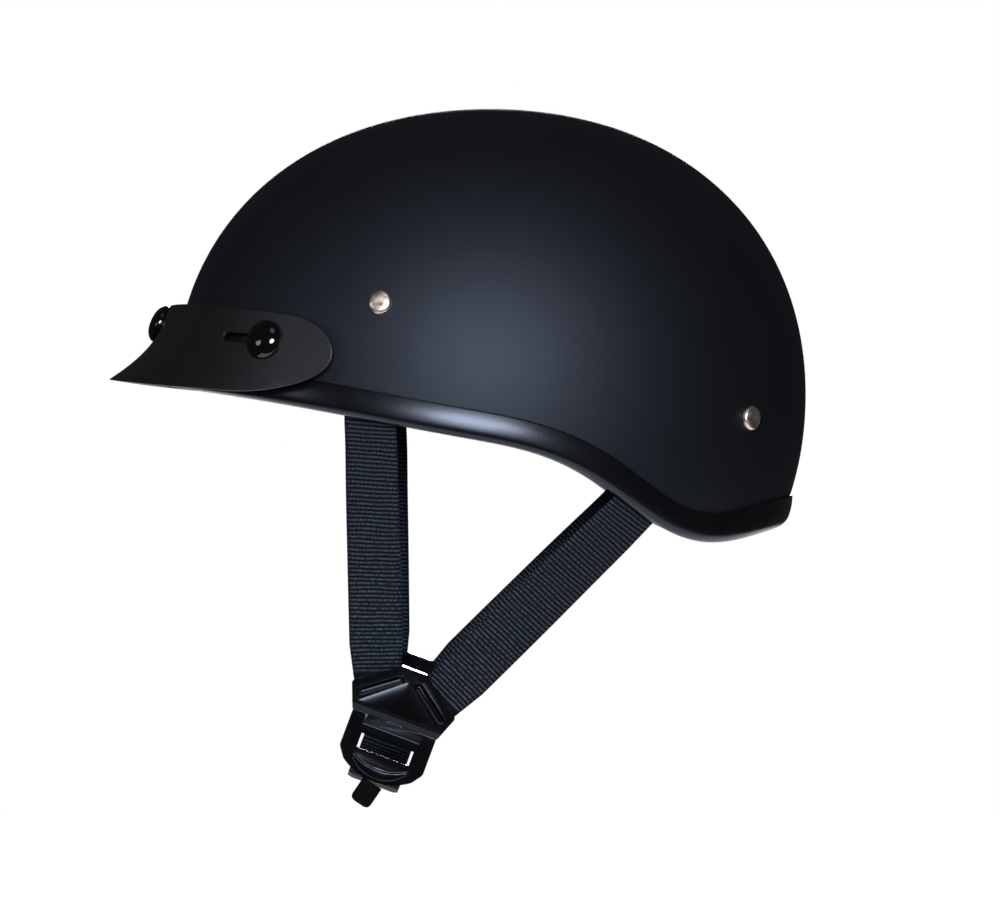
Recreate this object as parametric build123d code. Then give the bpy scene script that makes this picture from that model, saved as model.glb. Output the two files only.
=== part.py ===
from build123d import *
import os
from math import cos, sin, radians, degrees, sqrt

# Half shell motorcycle helmet, in millimetres.
# X runs to the wearer's left, Y to the back, Z up.
# The origin is the middle of the dome at its widest line, level with the wearer's brow.

# Dome of the shell
shell_half_width = 107
shell_half_length = 134
crown_height = 121
lower_depth = 125
dome_fullness_share = 0.598      # handle length of the profile curve; 0.552 would be an ellipse
shell_wall = 3
overrun = 20                     # how far every cutter runs past what it cuts
soft_gap = 0.3                   # between soft pieces and their neighbours
face_gap = 0.02                  # between rigid faces that lie on each other

# Lower edge, seen from the side, as shares of half the length and of the lower depth
rim_shares = [
    (-1.045, 0.035), (-0.739, -0.014), (-0.440, -0.073), (-0.067, -0.147), (0.190, -0.215),
    (0.332, -0.292), (0.515, -0.433), (0.672, -0.488), (0.896, -0.448), (1.082, -0.412),
]
rim_stations = 24

# Rubber edge trim, a U that grips the shell's edge
trim_height = 11
trim_inner_height = 8
trim_stand = 2.4
trim_inner_wall = 1.3
trim_web = 2

# Foam liner and comfort pads
foam_thickness = 15
foam_above_trim = 1
pad_thickness = 5
pad_above_rim = 2
pad_split = 2.4
crown_pad_level = 66
pad_split_angle = 40
skirt_thickness = 2.3

# Webbing of the four side straps
webbing_width = 22
webbing_thickness = 1.4
strap_inset = 6.1                # depth of the webbing's middle under the shell's outer face
strap_channel_gap = 0.6
gathered_width = 19.6            # webbing drawn together where it goes round a bar
strap_past_rivet = 10
loop_outer_end = 0.6
loop_inner_end = 2.4
lead_length = 10
lead_shares = (0.35, 0.7, 1)     # sections in the bend above the housing
free_shares = (0.55, 0.92)
inside_shares = (0, 0.25, 0.5, 0.75, 1)

# Strap rivets, a domed head outside and a washer under the webbing
rivet_head_diameter = 10
rivet_head_height = 2.6
rivet_shank_diameter = 4
rivet_tail_diameter = 7
rivet_tail_height = 1
washer_diameter = 12
washer_thickness = 0.8
washer_gap = 0.7                 # under the webbing, which bends with the shell
hole_gap = 0.05
front_rivet_y, front_rivet_z = -43.7, 35.5
rear_rivet_y, rear_rivet_z = 106.8, -10.5

# Where the straps pass the shell's edge, seen from the side
front_exit_y, front_exit_z = -48, -9
rear_exit_y, rear_exit_z = 61.5, -45

# Buckle: a Y housing on each side, upright beside the jaw, its axis tilted in side view
buckle_x = 60
buckle_y = -38
buckle_z = -133.5
buckle_tilt = 20.5
yoke_half_width = 22.6
yoke_shoulder_height = 8
yoke_top_half_width = 5.5
yoke_top_height = 20.8
yoke_waist_half_width = 19.5
yoke_foot_half_width = 18.5
yoke_foot_drop = 2.6
yoke_back = 6
yoke_back_plate = 1.2
yoke_corner_radius = 1.2
pocket_front = 1
bar_inset = 3.6                  # from the housing's upper edge to the bar's middle
bar_diameter = 2.4
bar_seat = 0.7
loop_gap = 0.1
pocket_gap = 0.35
rim_width = 1.3
channel_width = 2.4
channel_depth = 1
channel_end_gap = 1.4
ridge_width = 3.6
ridge_rise = 1.2
ridge_length = 20
lip_bevel_depth = 1.8

# Release button in the housing's face
button_low, button_high = 1.6, 15.2
button_low_half, button_high_half = 17.4, 1
button_travel = 1.5
button_gap = 0.2
button_plate = 0.9
button_crease = 1.1
ledge_thickness = 0.8
stem_half_width = 3.9
stem_low, stem_high = 6.8, 11.2
stem_flange = 1
stem_flange_low = 9.8
stem_flange_thickness = 1.1

# Plug: the frame that slides into the housing from below and holds the chin strap
tongue_half_width = 10.4
tongue_back = 2.6
tongue_thickness = 2.4
tongue_reach = 5.6
mouth_gap = 0.35
mouth_reach = 6.2
mouth_front = 0.7
arm_half_width = 3.2
arm_slot_gap = 0.5
arm_reach = 9.3
arm_hook_length = 2.4
arm_hook_rise = 1.55
plug_gap = 0.4
plug_half_width = 18.2
plug_side_end = 18.5
plug_corner_height = 23
plug_corner_half = 15
plug_height = 28
plug_front = 1.4
plug_back = 5
plug_corner_radius = 3
window_half_width = 11.4
window_top, window_bottom = 10.8, 17
crossbar_top = 7
crossbar_rise = 0.9
crossbar_width = 2.6
recess_half_width = 12.4
recess_depth = 1.6
lip_rise = 1.8
lip_half_width = 12.2
lip_end_top, lip_end_bottom = 18.8, 20.8
lip_top, lip_bottom = 22.6, 26.8
lip_round = 0.8
scoop_depth = 1.1
lock_bar_drop = 21
lock_bar_depth = 3.4
lock_bar_diameter = 2.6
lock_pocket_front = 0.5

# Chin strap, in the plane through both buckles
chin_bar_drop = 7
chin_bar_diameter = 2.4
chin_arm_width = 3.6
chin_arm_half_depth = 2
chin_arm_gap = 0.5
chin_tail_end = 27.5
chin_left_corner = 27.5
chin_right_corner = 26
chin_level = 31.5
chin_flat_half = 30
chin_left_radius = 7
chin_right_radius = 9
chin_flat_radius = 60
chin_sewn_length = 12
tail_width = 9
tail_thickness = 2.6
tail_length = 10
tail_tilt = 14

# Visor, a moulded blade held by three snaps
visor_wall = 2
visor_side_stand = 4
visor_section_angle = 66
visor_flare_angle = 62
visor_half_sections = 6
visor_outline_shares = [         # seen from the side: y by half the length, z by the crown height
    (-1.306, 0.069), (-1.065, 0.031), (-0.893, 0.013), (-0.724, 0.002), (-0.618, 0.016),
    (-0.526, 0.048), (-0.475, 0.099), (-0.470, 0.140), (-0.493, 0.194), (-0.552, 0.244),
    (-0.649, 0.269), (-0.888, 0.302), (-1.306, 0.318),
]
visor_level_shares = [0.36, 0.30, 0.20, 0.12, 0.05, -0.03]       # heights of a section's points
visor_flare_shares = [0.003, 0.007, 0.025, 0.075, 0.152, 0.260]  # stand off at the front, by length

# Snaps: stud on the shell, socket and cap on the visor
snap_cap_diameter = 16.4
snap_cap_height = 4.6
snap_cap_edge = 1.4
snap_post_diameter = 3.4
snap_socket_diameter = 13
snap_socket_wall = 0.8
snap_rise = 1                    # socket's open face above the shell
snap_roof = 0.8                  # room over the stud's head
snap_stud_diameter = 5
snap_stud_height = 2.8
snap_stud_head = 1
snap_neck_diameter = 4
snap_base_diameter = 10
snap_base_height = 0.8
snap_spring_wire = 0.6
snap_shank_diameter = 3
snap_washer_diameter = 9
side_snap_y, side_snap_z = -87.1, 20
front_snap_z = 27.8
slot_height = 4
slot_tilt = 7                    # the slot rises towards the front
slot_forward = 22.5
slot_backward = 4


def share_points(shares, first, second):
    """Points in the side view from shares of two sizes."""
    return [(a * first, b * second) for a, b in shares]


def dome(inset):
    """Closed dome, inset from the shell's outer face: a profile turned about Z, then narrowed."""
    reach, up, down = shell_half_length - inset, crown_height - inset, lower_depth - inset
    full = dome_fullness_share
    over = Bezier((0, 0, up), (reach * full, 0, up), (reach, 0, up * full), (reach, 0, 0))
    under = Bezier((reach, 0, 0), (reach, 0, -down * full), (reach * full, 0, -down), (0, 0, -down))
    half = make_face([*over.edges(), *under.edges(), Edge.make_line((0, 0, -down), (0, 0, up))])
    return scale(revolve(half, Axis.Z), by=((shell_half_width - inset) / reach, 1, 1))


def layer(outer, inner):
    """The dome's wall between two insets."""
    return dome(outer) - dome(inner)


def rim_points(rise):
    """Points of the lower edge in the side view, moved square to it by rise."""
    line = Spline(*share_points(rim_shares, shell_half_length, lower_depth))
    points = []
    for k in range(rim_stations + 1):
        share = k / rim_stations
        along = line % share
        points.append(line @ share + Vector(-along.Y, along.X) * rise)
    return points


def above_rim(rise):
    """Everything above the lower edge moved up by rise, as one block across the helmet."""
    edge = Spline(*rim_points(rise))
    top = crown_height + overrun
    corners = [edge @ 1, Vector((edge @ 1).X, top), Vector((edge @ 0).X, top), edge @ 0]
    face = make_face([*edge.edges(), *Polyline(*corners).edges()])
    return extrude(Plane.YZ * face, shell_half_width + overrun, both=True)


def hits(solid, axis):
    """Points and normals where a line meets a solid's faces."""
    return [hit for face in solid.faces() for hit in face.find_intersection_points(axis)]


def wall_point(y, z, inset):
    """Point and outward normal on the left of an inset dome, found from the side."""
    found = hits(dome(inset), Axis((0, y, z), (1, 0, 0)))
    point, normal = max(found, key=lambda hit: hit[0].X)
    return point, normal if normal.X > 0 else -normal


def front_point(z, inset):
    """Point and outward normal on the front of an inset dome."""
    found = hits(dome(inset), Axis((0, 0, z), (0, -1, 0)))
    point, normal = min(found, key=lambda hit: hit[0].Y)
    return point, normal if normal.Y < 0 else -normal


def on_right(shape):
    """The same piece on the wearer's right."""
    return mirror(shape, Plane.YZ)


def both_sides(shape):
    """A piece and its mirror image, as separate solids."""
    return [*shape.solids(), *on_right(shape).solids()]


def rod(diameter, low, high):
    """Round rod along Z between two heights."""
    return Pos(0, 0, low) * Cylinder(diameter / 2, high - low, align=(Align.CENTER, Align.CENTER, Align.MIN))


def domed(diameter, edge, height):
    """Disc with an upright edge and a domed top, its flat face at the origin."""
    half = diameter / 2
    side = Polyline((0, 0), (half, 0), (half, edge))
    top = Bezier((half, edge), (half, height), (half / 2, height), (0, height))
    close = Line((0, height), (0, 0))
    return revolve(Plane.XZ * make_face([*side.edges(), *top.edges(), *close.edges()]), Axis.Z)


# Places on the shell

def on_wall(y, z):
    """Plane on the shell's left face: x to the back, z square to the shell."""
    point, normal = wall_point(y, z, 0)
    return Plane(origin=point, x_dir=(-normal.Y, normal.X, 0), z_dir=normal)


def on_front():
    """Plane on the shell's front face at the middle snap."""
    point, normal = front_point(front_snap_z, 0)
    return Plane(origin=point, x_dir=(1, 0, 0), z_dir=normal)


def rivet_places():
    return [on_wall(front_rivet_y, front_rivet_z), on_wall(rear_rivet_y, rear_rivet_z)]


# Strap rivets and washers

strap_inner_face = strap_inset + webbing_thickness / 2
rivet_tail_top = -strap_inner_face - washer_gap - washer_thickness


def make_rivets():
    """Domed rivets, one for each strap end: head, shank and a spread tail over the washer."""
    head = domed(rivet_head_diameter, rivet_head_height / 5, rivet_head_height)
    shank = rod(rivet_shank_diameter, rivet_tail_top - rivet_tail_height, face_gap)
    tail = rod(rivet_tail_diameter, rivet_tail_top - rivet_tail_height, rivet_tail_top)
    rivet = head + shank + tail
    return [solid for place in rivet_places() for solid in both_sides(place * rivet)]


def make_rivet_washers():
    ring = rod(washer_diameter, rivet_tail_top + face_gap, rivet_tail_top + washer_thickness)
    ring = ring - rod(rivet_shank_diameter + 2 * hole_gap, -overrun, overrun)
    return [solid for place in rivet_places() for solid in both_sides(place * ring)]


def rivet_holes():
    hole = rod(rivet_shank_diameter + 2 * hole_gap, -overrun / 2, overrun / 2)
    return [solid for place in rivet_places() for solid in both_sides(place * hole)]


def rivet_rooms():
    """Pockets in the foam round the washers and rivet tails."""
    depth = rivet_tail_top - rivet_tail_height - strap_channel_gap
    room = rod(washer_diameter + 2 * strap_channel_gap, depth, 0)
    return [solid for place in rivet_places() for solid in both_sides(place * room)]


# Snap studs on the shell

def snap_places():
    """Planes of the middle snap and the left side snap."""
    return [on_front(), on_wall(side_snap_y, side_snap_z)]


def at_snaps(shape):
    """A piece at all three snaps, as separate solids."""
    front, side = snap_places()
    return [*(front * shape).solids(), *both_sides(side * shape)]


def make_snap_studs():
    """Studs: a base on the shell, a neck and a head for the socket, and a shank through the wall."""
    neck_top = snap_stud_height - snap_stud_head
    base = rod(snap_base_diameter, face_gap, snap_base_height)
    neck = rod(snap_neck_diameter, snap_base_height, neck_top)
    head = rod(snap_stud_diameter, neck_top, snap_stud_height)
    shank = rod(snap_shank_diameter, -shell_wall - washer_thickness, face_gap)
    return at_snaps(base + neck + head + shank)


def make_stud_washers():
    """Flat washers under the stud shanks, inside the shell."""
    ring = rod(snap_washer_diameter, -shell_wall - washer_thickness, -shell_wall - soft_gap / 2)
    return at_snaps(ring - rod(snap_shank_diameter + 2 * hole_gap, -overrun, overrun))


def stud_holes():
    return at_snaps(rod(snap_shank_diameter + 2 * hole_gap, -overrun / 4, overrun / 4))


def stud_rooms():
    depth = -shell_wall - washer_thickness - strap_channel_gap
    return at_snaps(rod(snap_washer_diameter + 2 * strap_channel_gap, depth, 0))


# Shell, trim and liner

def make_shell():
    shell = layer(0, shell_wall) & above_rim(trim_web + face_gap)
    return shell - [*rivet_holes(), *stud_holes()]


def make_trim():
    """Rubber edging: a U with a tall outer lip, its slot filled by the shell's edge."""
    inner_face = shell_wall + trim_inner_wall
    whole = layer(-trim_stand, inner_face) & (above_rim(0) - above_rim(trim_height))
    slot = layer(-face_gap, shell_wall + face_gap) & above_rim(trim_web)
    behind = dome(shell_wall + face_gap) & above_rim(trim_inner_height)
    return whole - slot - behind


foam_outer = shell_wall + soft_gap
foam_inner = foam_outer + foam_thickness
foam_rise = trim_inner_height + foam_above_trim
pad_outer = foam_inner + soft_gap
pad_inner = pad_outer + pad_thickness


def make_foam():
    foam = layer(foam_outer, foam_inner) & above_rim(foam_rise)
    rooms = [*both_sides(strap_room(front_rivet, front_exit)), *both_sides(strap_room(rear_rivet, rear_exit))]
    return foam - [*rooms, *rivet_rooms(), *stud_rooms()]


def make_skirt():
    """Cloth ring that closes the foam's lower face between the pads and the straps."""
    outer_side = strap_inner_face + strap_channel_gap
    top = foam_rise - soft_gap
    return layer(outer_side, foam_inner) & (above_rim(top - skirt_thickness) - above_rim(top))


def wedge(start, end):
    """Upright wedge about Z between two angles in plan, measured from straight ahead to the left."""
    reach = shell_half_length + shell_half_width
    points = [(0, 0)]
    for k in range(3):
        turn = radians(start + (end - start) * k / 2)
        points.append((reach * sin(turn), -reach * cos(turn)))
    return extrude(make_face(Polyline(*points, close=True)), crown_height + overrun, both=True)


def make_pads():
    """Comfort pads: brow, two sides, neck and crown, parted by narrow gaps."""
    liner = layer(pad_outer, pad_inner) & above_rim(pad_above_rim)
    size = 2 * (shell_half_length + overrun)
    above = Box(size, size, size, align=(Align.CENTER, Align.CENTER, Align.MIN))
    below = Box(size, size, size, align=(Align.CENTER, Align.CENTER, Align.MAX))
    band = liner & (Pos(0, 0, crown_pad_level - pad_split / 2) * below)
    gap = degrees(pad_split / 2 / (shell_half_width - pad_outer))
    start, end = pad_split_angle, 180 - pad_split_angle
    left = band & wedge(start + gap, end - gap)
    return {
        "crown_pad": liner & (Pos(0, 0, crown_pad_level + pad_split / 2) * above),
        "brow_pad": band & wedge(gap - start, start - gap),
        "neck_pad": band & wedge(end + gap, 360 - end - gap),
        "side_pad_left": left,
        "side_pad_right": on_right(left),
    }


# Buckle frame and its bars

def buckle_plane():
    """Plane of the left buckle: x along its lower edge to the back, y up its axis, z outwards."""
    tilt = radians(buckle_tilt)
    return Plane(origin=(buckle_x, buckle_y, buckle_z), x_dir=(0, cos(tilt), -sin(tilt)), z_dir=(1, 0, 0))


edge_run = yoke_half_width - yoke_top_half_width
edge_fall = yoke_top_height - yoke_shoulder_height
edge_length = sqrt(edge_run**2 + edge_fall**2)
loop_radius = bar_diameter / 2 + loop_gap + webbing_thickness / 2
pocket_width = gathered_width + 2 * pocket_gap
well_floor = pocket_front + ledge_thickness
plate_low = well_floor + button_travel + button_gap / 2
yoke_face = plate_low + button_plate


def edge_plane(side):
    """Plane at the middle of a sloping upper edge: x along the edge, y square to it, z outwards.
    Side is -1 for the front strap and 1 for the rear one."""
    middle_x = side * (yoke_half_width + yoke_top_half_width) / 2
    middle_y = (yoke_top_height + yoke_shoulder_height) / 2
    direction = (edge_run / edge_length, -side * edge_fall / edge_length, 0)
    return Plane(origin=(middle_x, middle_y, 0), x_dir=direction, z_dir=(0, 0, 1))


def cross_rod(diameter, length):
    """Round rod along X, centred."""
    return Cylinder(diameter / 2, length, rotation=(0, 90, 0))


def strap_bars():
    """Steel pins that the side straps are sewn round, along the sloping edges."""
    pin = Pos(0, -bar_inset, -loop_radius) * cross_rod(bar_diameter, pocket_width + 2 * bar_seat)
    return [edge_plane(side) * pin for side in (-1, 1)]


def strap_pockets():
    """Room in the housing for the gathered webbing and its bars, open along the edges."""
    low = -bar_inset - loop_radius - webbing_thickness / 2 - pocket_gap
    depth = yoke_back - yoke_back_plate + pocket_front
    block = Box(pocket_width, overrun - low, depth, align=(Align.CENTER, Align.MIN, Align.MAX))
    return [edge_plane(side) * (Pos(0, low, pocket_front) * block) for side in (-1, 1)]


def yoke_block(back, front):
    """The housing's outline between two heights: a hexagon with rounded shoulders and a narrower foot."""
    points = [
        (-yoke_half_width, yoke_shoulder_height), (-yoke_top_half_width, yoke_top_height),
        (yoke_top_half_width, yoke_top_height), (yoke_half_width, yoke_shoulder_height),
        (yoke_waist_half_width, 0), (yoke_foot_half_width, -yoke_foot_drop),
        (-yoke_foot_half_width, -yoke_foot_drop), (-yoke_waist_half_width, 0),
    ]
    face = make_face(Polyline(*points, close=True))
    upper = [v for v in face.vertices() if v.Y > yoke_shoulder_height / 2]
    return Pos(0, 0, back) * extrude(fillet(upper, yoke_corner_radius), front - back)


def yoke_face_details(block):
    """Rim, channel and raised ridge along both sloping edges, and the bevel above the mouth."""
    channel_length = edge_length - 2 * channel_end_gap
    channel = Box(channel_length, channel_width, channel_depth, align=(Align.CENTER, Align.MAX, Align.MAX))
    radius = (ridge_width**2 / 4 + ridge_rise**2) / (2 * ridge_rise)
    centre = yoke_face + ridge_rise - radius
    from_edge = rim_width + channel_width + ridge_width / 2
    straight = ridge_length - 2 * radius
    ridge = cross_rod(2 * radius, straight) + Pos(straight / 2, 0, 0) * Sphere(radius)
    ridge = ridge + Pos(-straight / 2, 0, 0) * Sphere(radius)
    above_floor = Box(yoke_half_width * 2, overrun, overrun, align=(Align.CENTER, Align.CENTER, Align.MIN))
    for side in (-1, 1):
        block = block - edge_plane(side) * (Pos(0, -rim_width, yoke_face) * channel)
        raised = (Pos(0, -from_edge, centre) * ridge) & (Pos(0, -from_edge, well_floor) * above_floor)
        block = block + edge_plane(side) * raised
    bevel = make_face(Polyline(
        (0, yoke_face), (-yoke_foot_drop, yoke_face - lip_bevel_depth),
        (-overrun, yoke_face - lip_bevel_depth), (-overrun, overrun), (0, overrun), close=True))
    across = Plane(origin=(0, 0, 0), x_dir=(0, 1, 0), z_dir=(1, 0, 0))
    return block - extrude(across * bevel, yoke_half_width, both=True)


def button_outline():
    """The button's face seen from outside: a low trapezium between the two ridges."""
    points = [(-button_low_half, button_low), (button_low_half, button_low),
              (button_high_half, button_high), (-button_high_half, button_high)]
    return make_face(Polyline(*points, close=True))


def make_housing():
    """Left housing: pockets for two straps, a mouth for the plug and a well for the button."""
    block = yoke_face_details(yoke_block(yoke_back_plate - yoke_back, yoke_face))
    block = block - strap_pockets() - strap_bars()
    mouth_back = tongue_back + mouth_gap
    mouth = Box(2 * (tongue_half_width + mouth_gap), mouth_reach + overrun, mouth_front + mouth_back,
                align=(Align.CENTER, Align.MAX, Align.MAX))
    block = block - Pos(0, mouth_reach, mouth_front) * mouth
    arm_room = Box(2 * (arm_half_width + arm_slot_gap), arm_reach + arm_slot_gap + overrun,
                   mouth_front + yoke_back, align=(Align.CENTER, Align.MAX, Align.MAX))
    block = block - Pos(0, arm_reach + arm_slot_gap, mouth_front) * arm_room
    pit_outline = offset(button_outline(), button_gap, kind=Kind.INTERSECTION)
    pit = Pos(0, 0, well_floor) * extrude(pit_outline, overrun)
    well_length = stem_high - stem_low + 2 * button_gap
    well = Box(2 * (stem_half_width + button_gap), well_length, overrun,
               align=(Align.CENTER, Align.MIN, Align.MIN))
    well_back = -stem_flange_thickness - button_travel
    block = block - pit - Pos(0, stem_low - button_gap, well_back) * well
    flange_length = stem_high - stem_flange_low + 2 * button_gap
    flange_room = Box(2 * (stem_half_width + stem_flange + button_gap), flange_length,
                      mouth_front - well_back, align=(Align.CENTER, Align.MIN, Align.MIN))
    return block - Pos(0, stem_flange_low - button_gap, well_back) * flange_room


def make_back_plate():
    """Flat cover welded to the housing's back, on the wearer's side."""
    return yoke_block(-yoke_back, yoke_back_plate - yoke_back - face_gap)


def make_button():
    """Release button: a creased plate in the housing's face, a stem over the latch and a captive flange."""
    plate = Pos(0, 0, plate_low) * extrude(button_outline(), button_plate)
    roof = button_roof(plate_low + button_plate)
    hook_top = arm_hook_rise - (tongue_back - tongue_thickness)
    stem = Box(2 * stem_half_width, stem_high - stem_low, plate_low - hook_top - button_gap / 2,
               align=(Align.CENTER, Align.MIN, Align.MAX))
    flange_top = mouth_front - button_gap / 2
    flange = Box(2 * (stem_half_width + stem_flange), stem_high - stem_flange_low, stem_flange_thickness,
                 align=(Align.CENTER, Align.MIN, Align.MAX))
    neck_height = plate_low - flange_top + stem_flange_thickness
    neck = Box(2 * stem_half_width, stem_high - stem_flange_low, neck_height,
               align=(Align.CENTER, Align.MIN, Align.MAX))
    body = plate + roof + Pos(0, stem_low, plate_low) * stem
    return body + Pos(0, stem_flange_low, plate_low) * neck + Pos(0, stem_flange_low, flange_top) * flange


def button_roof(top):
    """The button's two sloping halves, which meet in a crease that rises towards the lower edge."""
    a, b = Vector(-button_low_half, button_low, top), Vector(button_low_half, button_low, top)
    c, d = Vector(button_high_half, button_high, top), Vector(-button_high_half, button_high, top)
    low = Vector(0, button_low + face_gap, top + button_crease)
    high = Vector(0, button_high - face_gap, top)
    outlines = [(a, b, c, d), (a, b, low), (b, c, high), (b, high, low),
                (c, d, high), (d, a, low), (d, low, high)]
    return Solid(Shell([Face(Wire.make_polygon(points)) for points in outlines]))


# Plug and latch

def plug_outline():
    top = -yoke_foot_drop - plug_gap
    side = Polyline((-plug_corner_half, -plug_corner_height), (-plug_half_width, -plug_side_end),
                    (-plug_half_width, top), (plug_half_width, top), (plug_half_width, -plug_side_end),
                    (plug_corner_half, -plug_corner_height))
    foot = ThreePointArc((plug_corner_half, -plug_corner_height), (0, -plug_height),
                         (-plug_corner_half, -plug_corner_height))
    face = make_face([*side.edges(), *foot.edges()])
    lower = [v for v in face.vertices() if v.Y < top - face_gap]
    return fillet(lower, plug_corner_radius)


def thumb_lip():
    """Raised crescent below the window that the thumb pushes on."""
    half = lip_half_width
    top = ThreePointArc((-half, -lip_end_top), (0, -lip_top), (half, -lip_end_top))
    foot = ThreePointArc((half, -lip_end_bottom), (0, -lip_bottom), (-half, -lip_end_bottom))
    ends = [Line(top @ 1, foot @ 0), Line(foot @ 1, top @ 0)]
    crescent = extrude(make_face([*top.edges(), *foot.edges(), *ends[0].edges(), *ends[1].edges()]),
                       plug_front + lip_rise)
    return fillet(crescent.faces().sort_by(Axis.Z)[-1].edges(), lip_round)


def thumb_scoop():
    """Shallow hollow between the window and the thumb lip."""
    half, high = window_half_width, -window_bottom + mouth_gap
    under_lip = -(lip_top + lip_bottom) / 2
    top = Polyline((half, -lip_end_bottom), (half, high), (-half, high), (-half, -lip_end_bottom))
    foot = ThreePointArc((-half, -lip_end_bottom), (0, under_lip), (half, -lip_end_bottom))
    return Pos(0, 0, plug_front - scoop_depth) * extrude(make_face([*top.edges(), *foot.edges()]), overrun)


def lock_bar():
    length = 2 * (window_half_width + bar_seat)
    return Pos(0, -lock_bar_drop, -lock_bar_depth) * cross_rod(lock_bar_diameter, length)


def make_plug():
    """Plug: D frame with an open window, a crossbar, a thumb lip and two prongs beside the latch."""
    frame = Pos(0, 0, -plug_back) * extrude(plug_outline(), plug_front + plug_back)
    top = -yoke_foot_drop - plug_gap
    window = Box(2 * window_half_width, window_bottom - window_top, overrun,
                 align=(Align.CENTER, Align.MAX, Align.CENTER))
    pocket = Box(2 * window_half_width, overrun, overrun, align=(Align.CENTER, Align.MAX, Align.MAX))
    recess = Box(2 * recess_half_width, crossbar_top + top, overrun,
                 align=(Align.CENTER, Align.MAX, Align.MIN))
    frame = frame - Pos(0, -window_top, 0) * window - Pos(0, -window_bottom, -lock_pocket_front) * pocket
    frame = frame - Pos(0, top, plug_front - recess_depth) * recess - thumb_scoop()
    bar = Box(2 * recess_half_width, crossbar_width, plug_front + crossbar_rise,
              align=(Align.CENTER, Align.MAX, Align.MIN))
    frame = frame + Pos(0, -crossbar_top, 0) * bar + thumb_lip()
    prong_width = tongue_half_width - arm_half_width - arm_slot_gap
    prong = Box(prong_width, tongue_reach - top + face_gap, tongue_thickness,
                align=(Align.MAX, Align.MAX, Align.MIN))
    for prong_side in (tongue_half_width, -tongue_half_width + prong_width):
        frame = frame + Pos(prong_side, tongue_reach, -tongue_back) * prong
    return frame - lock_bar()


def make_latch():
    """Springy arm between the prongs, with a hook that catches on the housing's ledge."""
    top = -yoke_foot_drop - plug_gap
    arm = Box(2 * arm_half_width, arm_reach - top, tongue_thickness / 2,
              align=(Align.CENTER, Align.MAX, Align.MAX))
    front = tongue_thickness - tongue_back
    hook = Box(2 * arm_half_width, arm_hook_length, arm_hook_rise + tongue_thickness / 2,
               align=(Align.CENTER, Align.MAX, Align.MAX))
    return Pos(0, arm_reach, front) * arm + Pos(0, arm_reach, front + arm_hook_rise) * hook


# Webbing

def side_profile():
    """Plane in which a band's path is drawn: first the way along the strap, then outwards."""
    return Plane(origin=(0, 0, 0), x_dir=(0, 1, 0), z_dir=(1, 0, 0))


def strap_loop(side):
    """The sewn end of a side strap round its bar, as one band of webbing."""
    turn = -bar_inset - loop_radius
    path = [(loop_outer_end, 0), (turn, 0), (turn, -2 * loop_radius), (loop_inner_end, -2 * loop_radius)]
    band = trace(FilletPolyline(*path, radius=loop_radius - face_gap), webbing_thickness)
    return edge_plane(side) * extrude(side_profile() * band, gathered_width / 2, both=True)


def webbing_section(point, along, normal, width, thickness):
    """Cross-section of the webbing at a point of its path."""
    return Plane(origin=point, x_dir=along.cross(normal), z_dir=along) * Rectangle(width, thickness)


front_rivet, rear_rivet = (front_rivet_y, front_rivet_z), (rear_rivet_y, rear_rivet_z)
front_exit, rear_exit = (front_exit_y, front_exit_z), (rear_exit_y, rear_exit_z)


def inside_stops(rivet, exit_place, inset):
    """Points and normals of a strap's path on the shell's inner face, from the edge to past the rivet."""
    run = Vector(rivet[0] - exit_place[0], rivet[1] - exit_place[1])
    places = [Vector(*exit_place) + run * share for share in inside_shares]
    places.append(Vector(*rivet) + run.normalized() * strap_past_rivet)
    return [wall_point(place.X, place.Y, inset) for place in places]


def inside_sections(stops, before, width, thickness):
    points = [before] + [point for point, normal in stops]
    sections = []
    for k, (point, normal) in enumerate(stops):
        after = points[k + 2] if k + 2 < len(points) else point + (point - points[k])
        sections.append(webbing_section(point, (after - points[k]).normalized(), normal, width, thickness))
    return sections


def side_strap(side, rivet, exit_place):
    """Left side strap: sewn loop in the housing, free run, then flat against the shell to its rivet."""
    frame = buckle_plane().location * edge_plane(side).location
    seat = Plane(frame)
    stops = inside_stops(rivet, exit_place, strap_inset)
    start = seat.origin + seat.y_dir * loop_outer_end
    free = stops[0][0] - start
    ahead = free.normalized()
    out = seat.z_dir
    size = (webbing_width, webbing_thickness)
    sections = [webbing_section(start, seat.y_dir, out, gathered_width, webbing_thickness)]
    for share in lead_shares:
        point = start + free.normalized() * lead_length * share
        way = (seat.y_dir * (1 - share) + ahead * share).normalized()
        width = gathered_width + (webbing_width - gathered_width) * share
        sections.append(webbing_section(point, way, out, width, webbing_thickness))
    for share in free_shares:
        normal = (out * (1 - share) + stops[0][1] * share).normalized()
        sections.append(webbing_section(start + free * share, ahead, normal, *size))
    sections += inside_sections(stops, start + free * free_shares[-1], *size)
    strap = loft(sections, ruled=True) + buckle_plane() * strap_loop(side)
    return strap - rivet_holes()


def strap_room(rivet, exit_place):
    """Channel in the foam for the strap inside the shell."""
    stops = inside_stops(rivet, exit_place, strap_inset)
    before = stops[0][0] - (stops[1][0] - stops[0][0])
    width = webbing_width + 2 * strap_channel_gap
    thickness = webbing_thickness + 2 * (strap_inset - shell_wall)
    return loft(inside_sections(stops, before, width, thickness), ruled=True)


def chin_plane():
    """Plane across both buckles: x to the left, y up the buckle's axis."""
    tilt = radians(buckle_tilt)
    return Plane(origin=(0, buckle_y, buckle_z), x_dir=(1, 0, 0), z_dir=(0, -cos(tilt), sin(tilt)))


lock_loop = lock_bar_diameter / 2 + loop_gap + webbing_thickness / 2
chin_loop = chin_bar_diameter / 2 + loop_gap + webbing_thickness / 2


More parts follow.
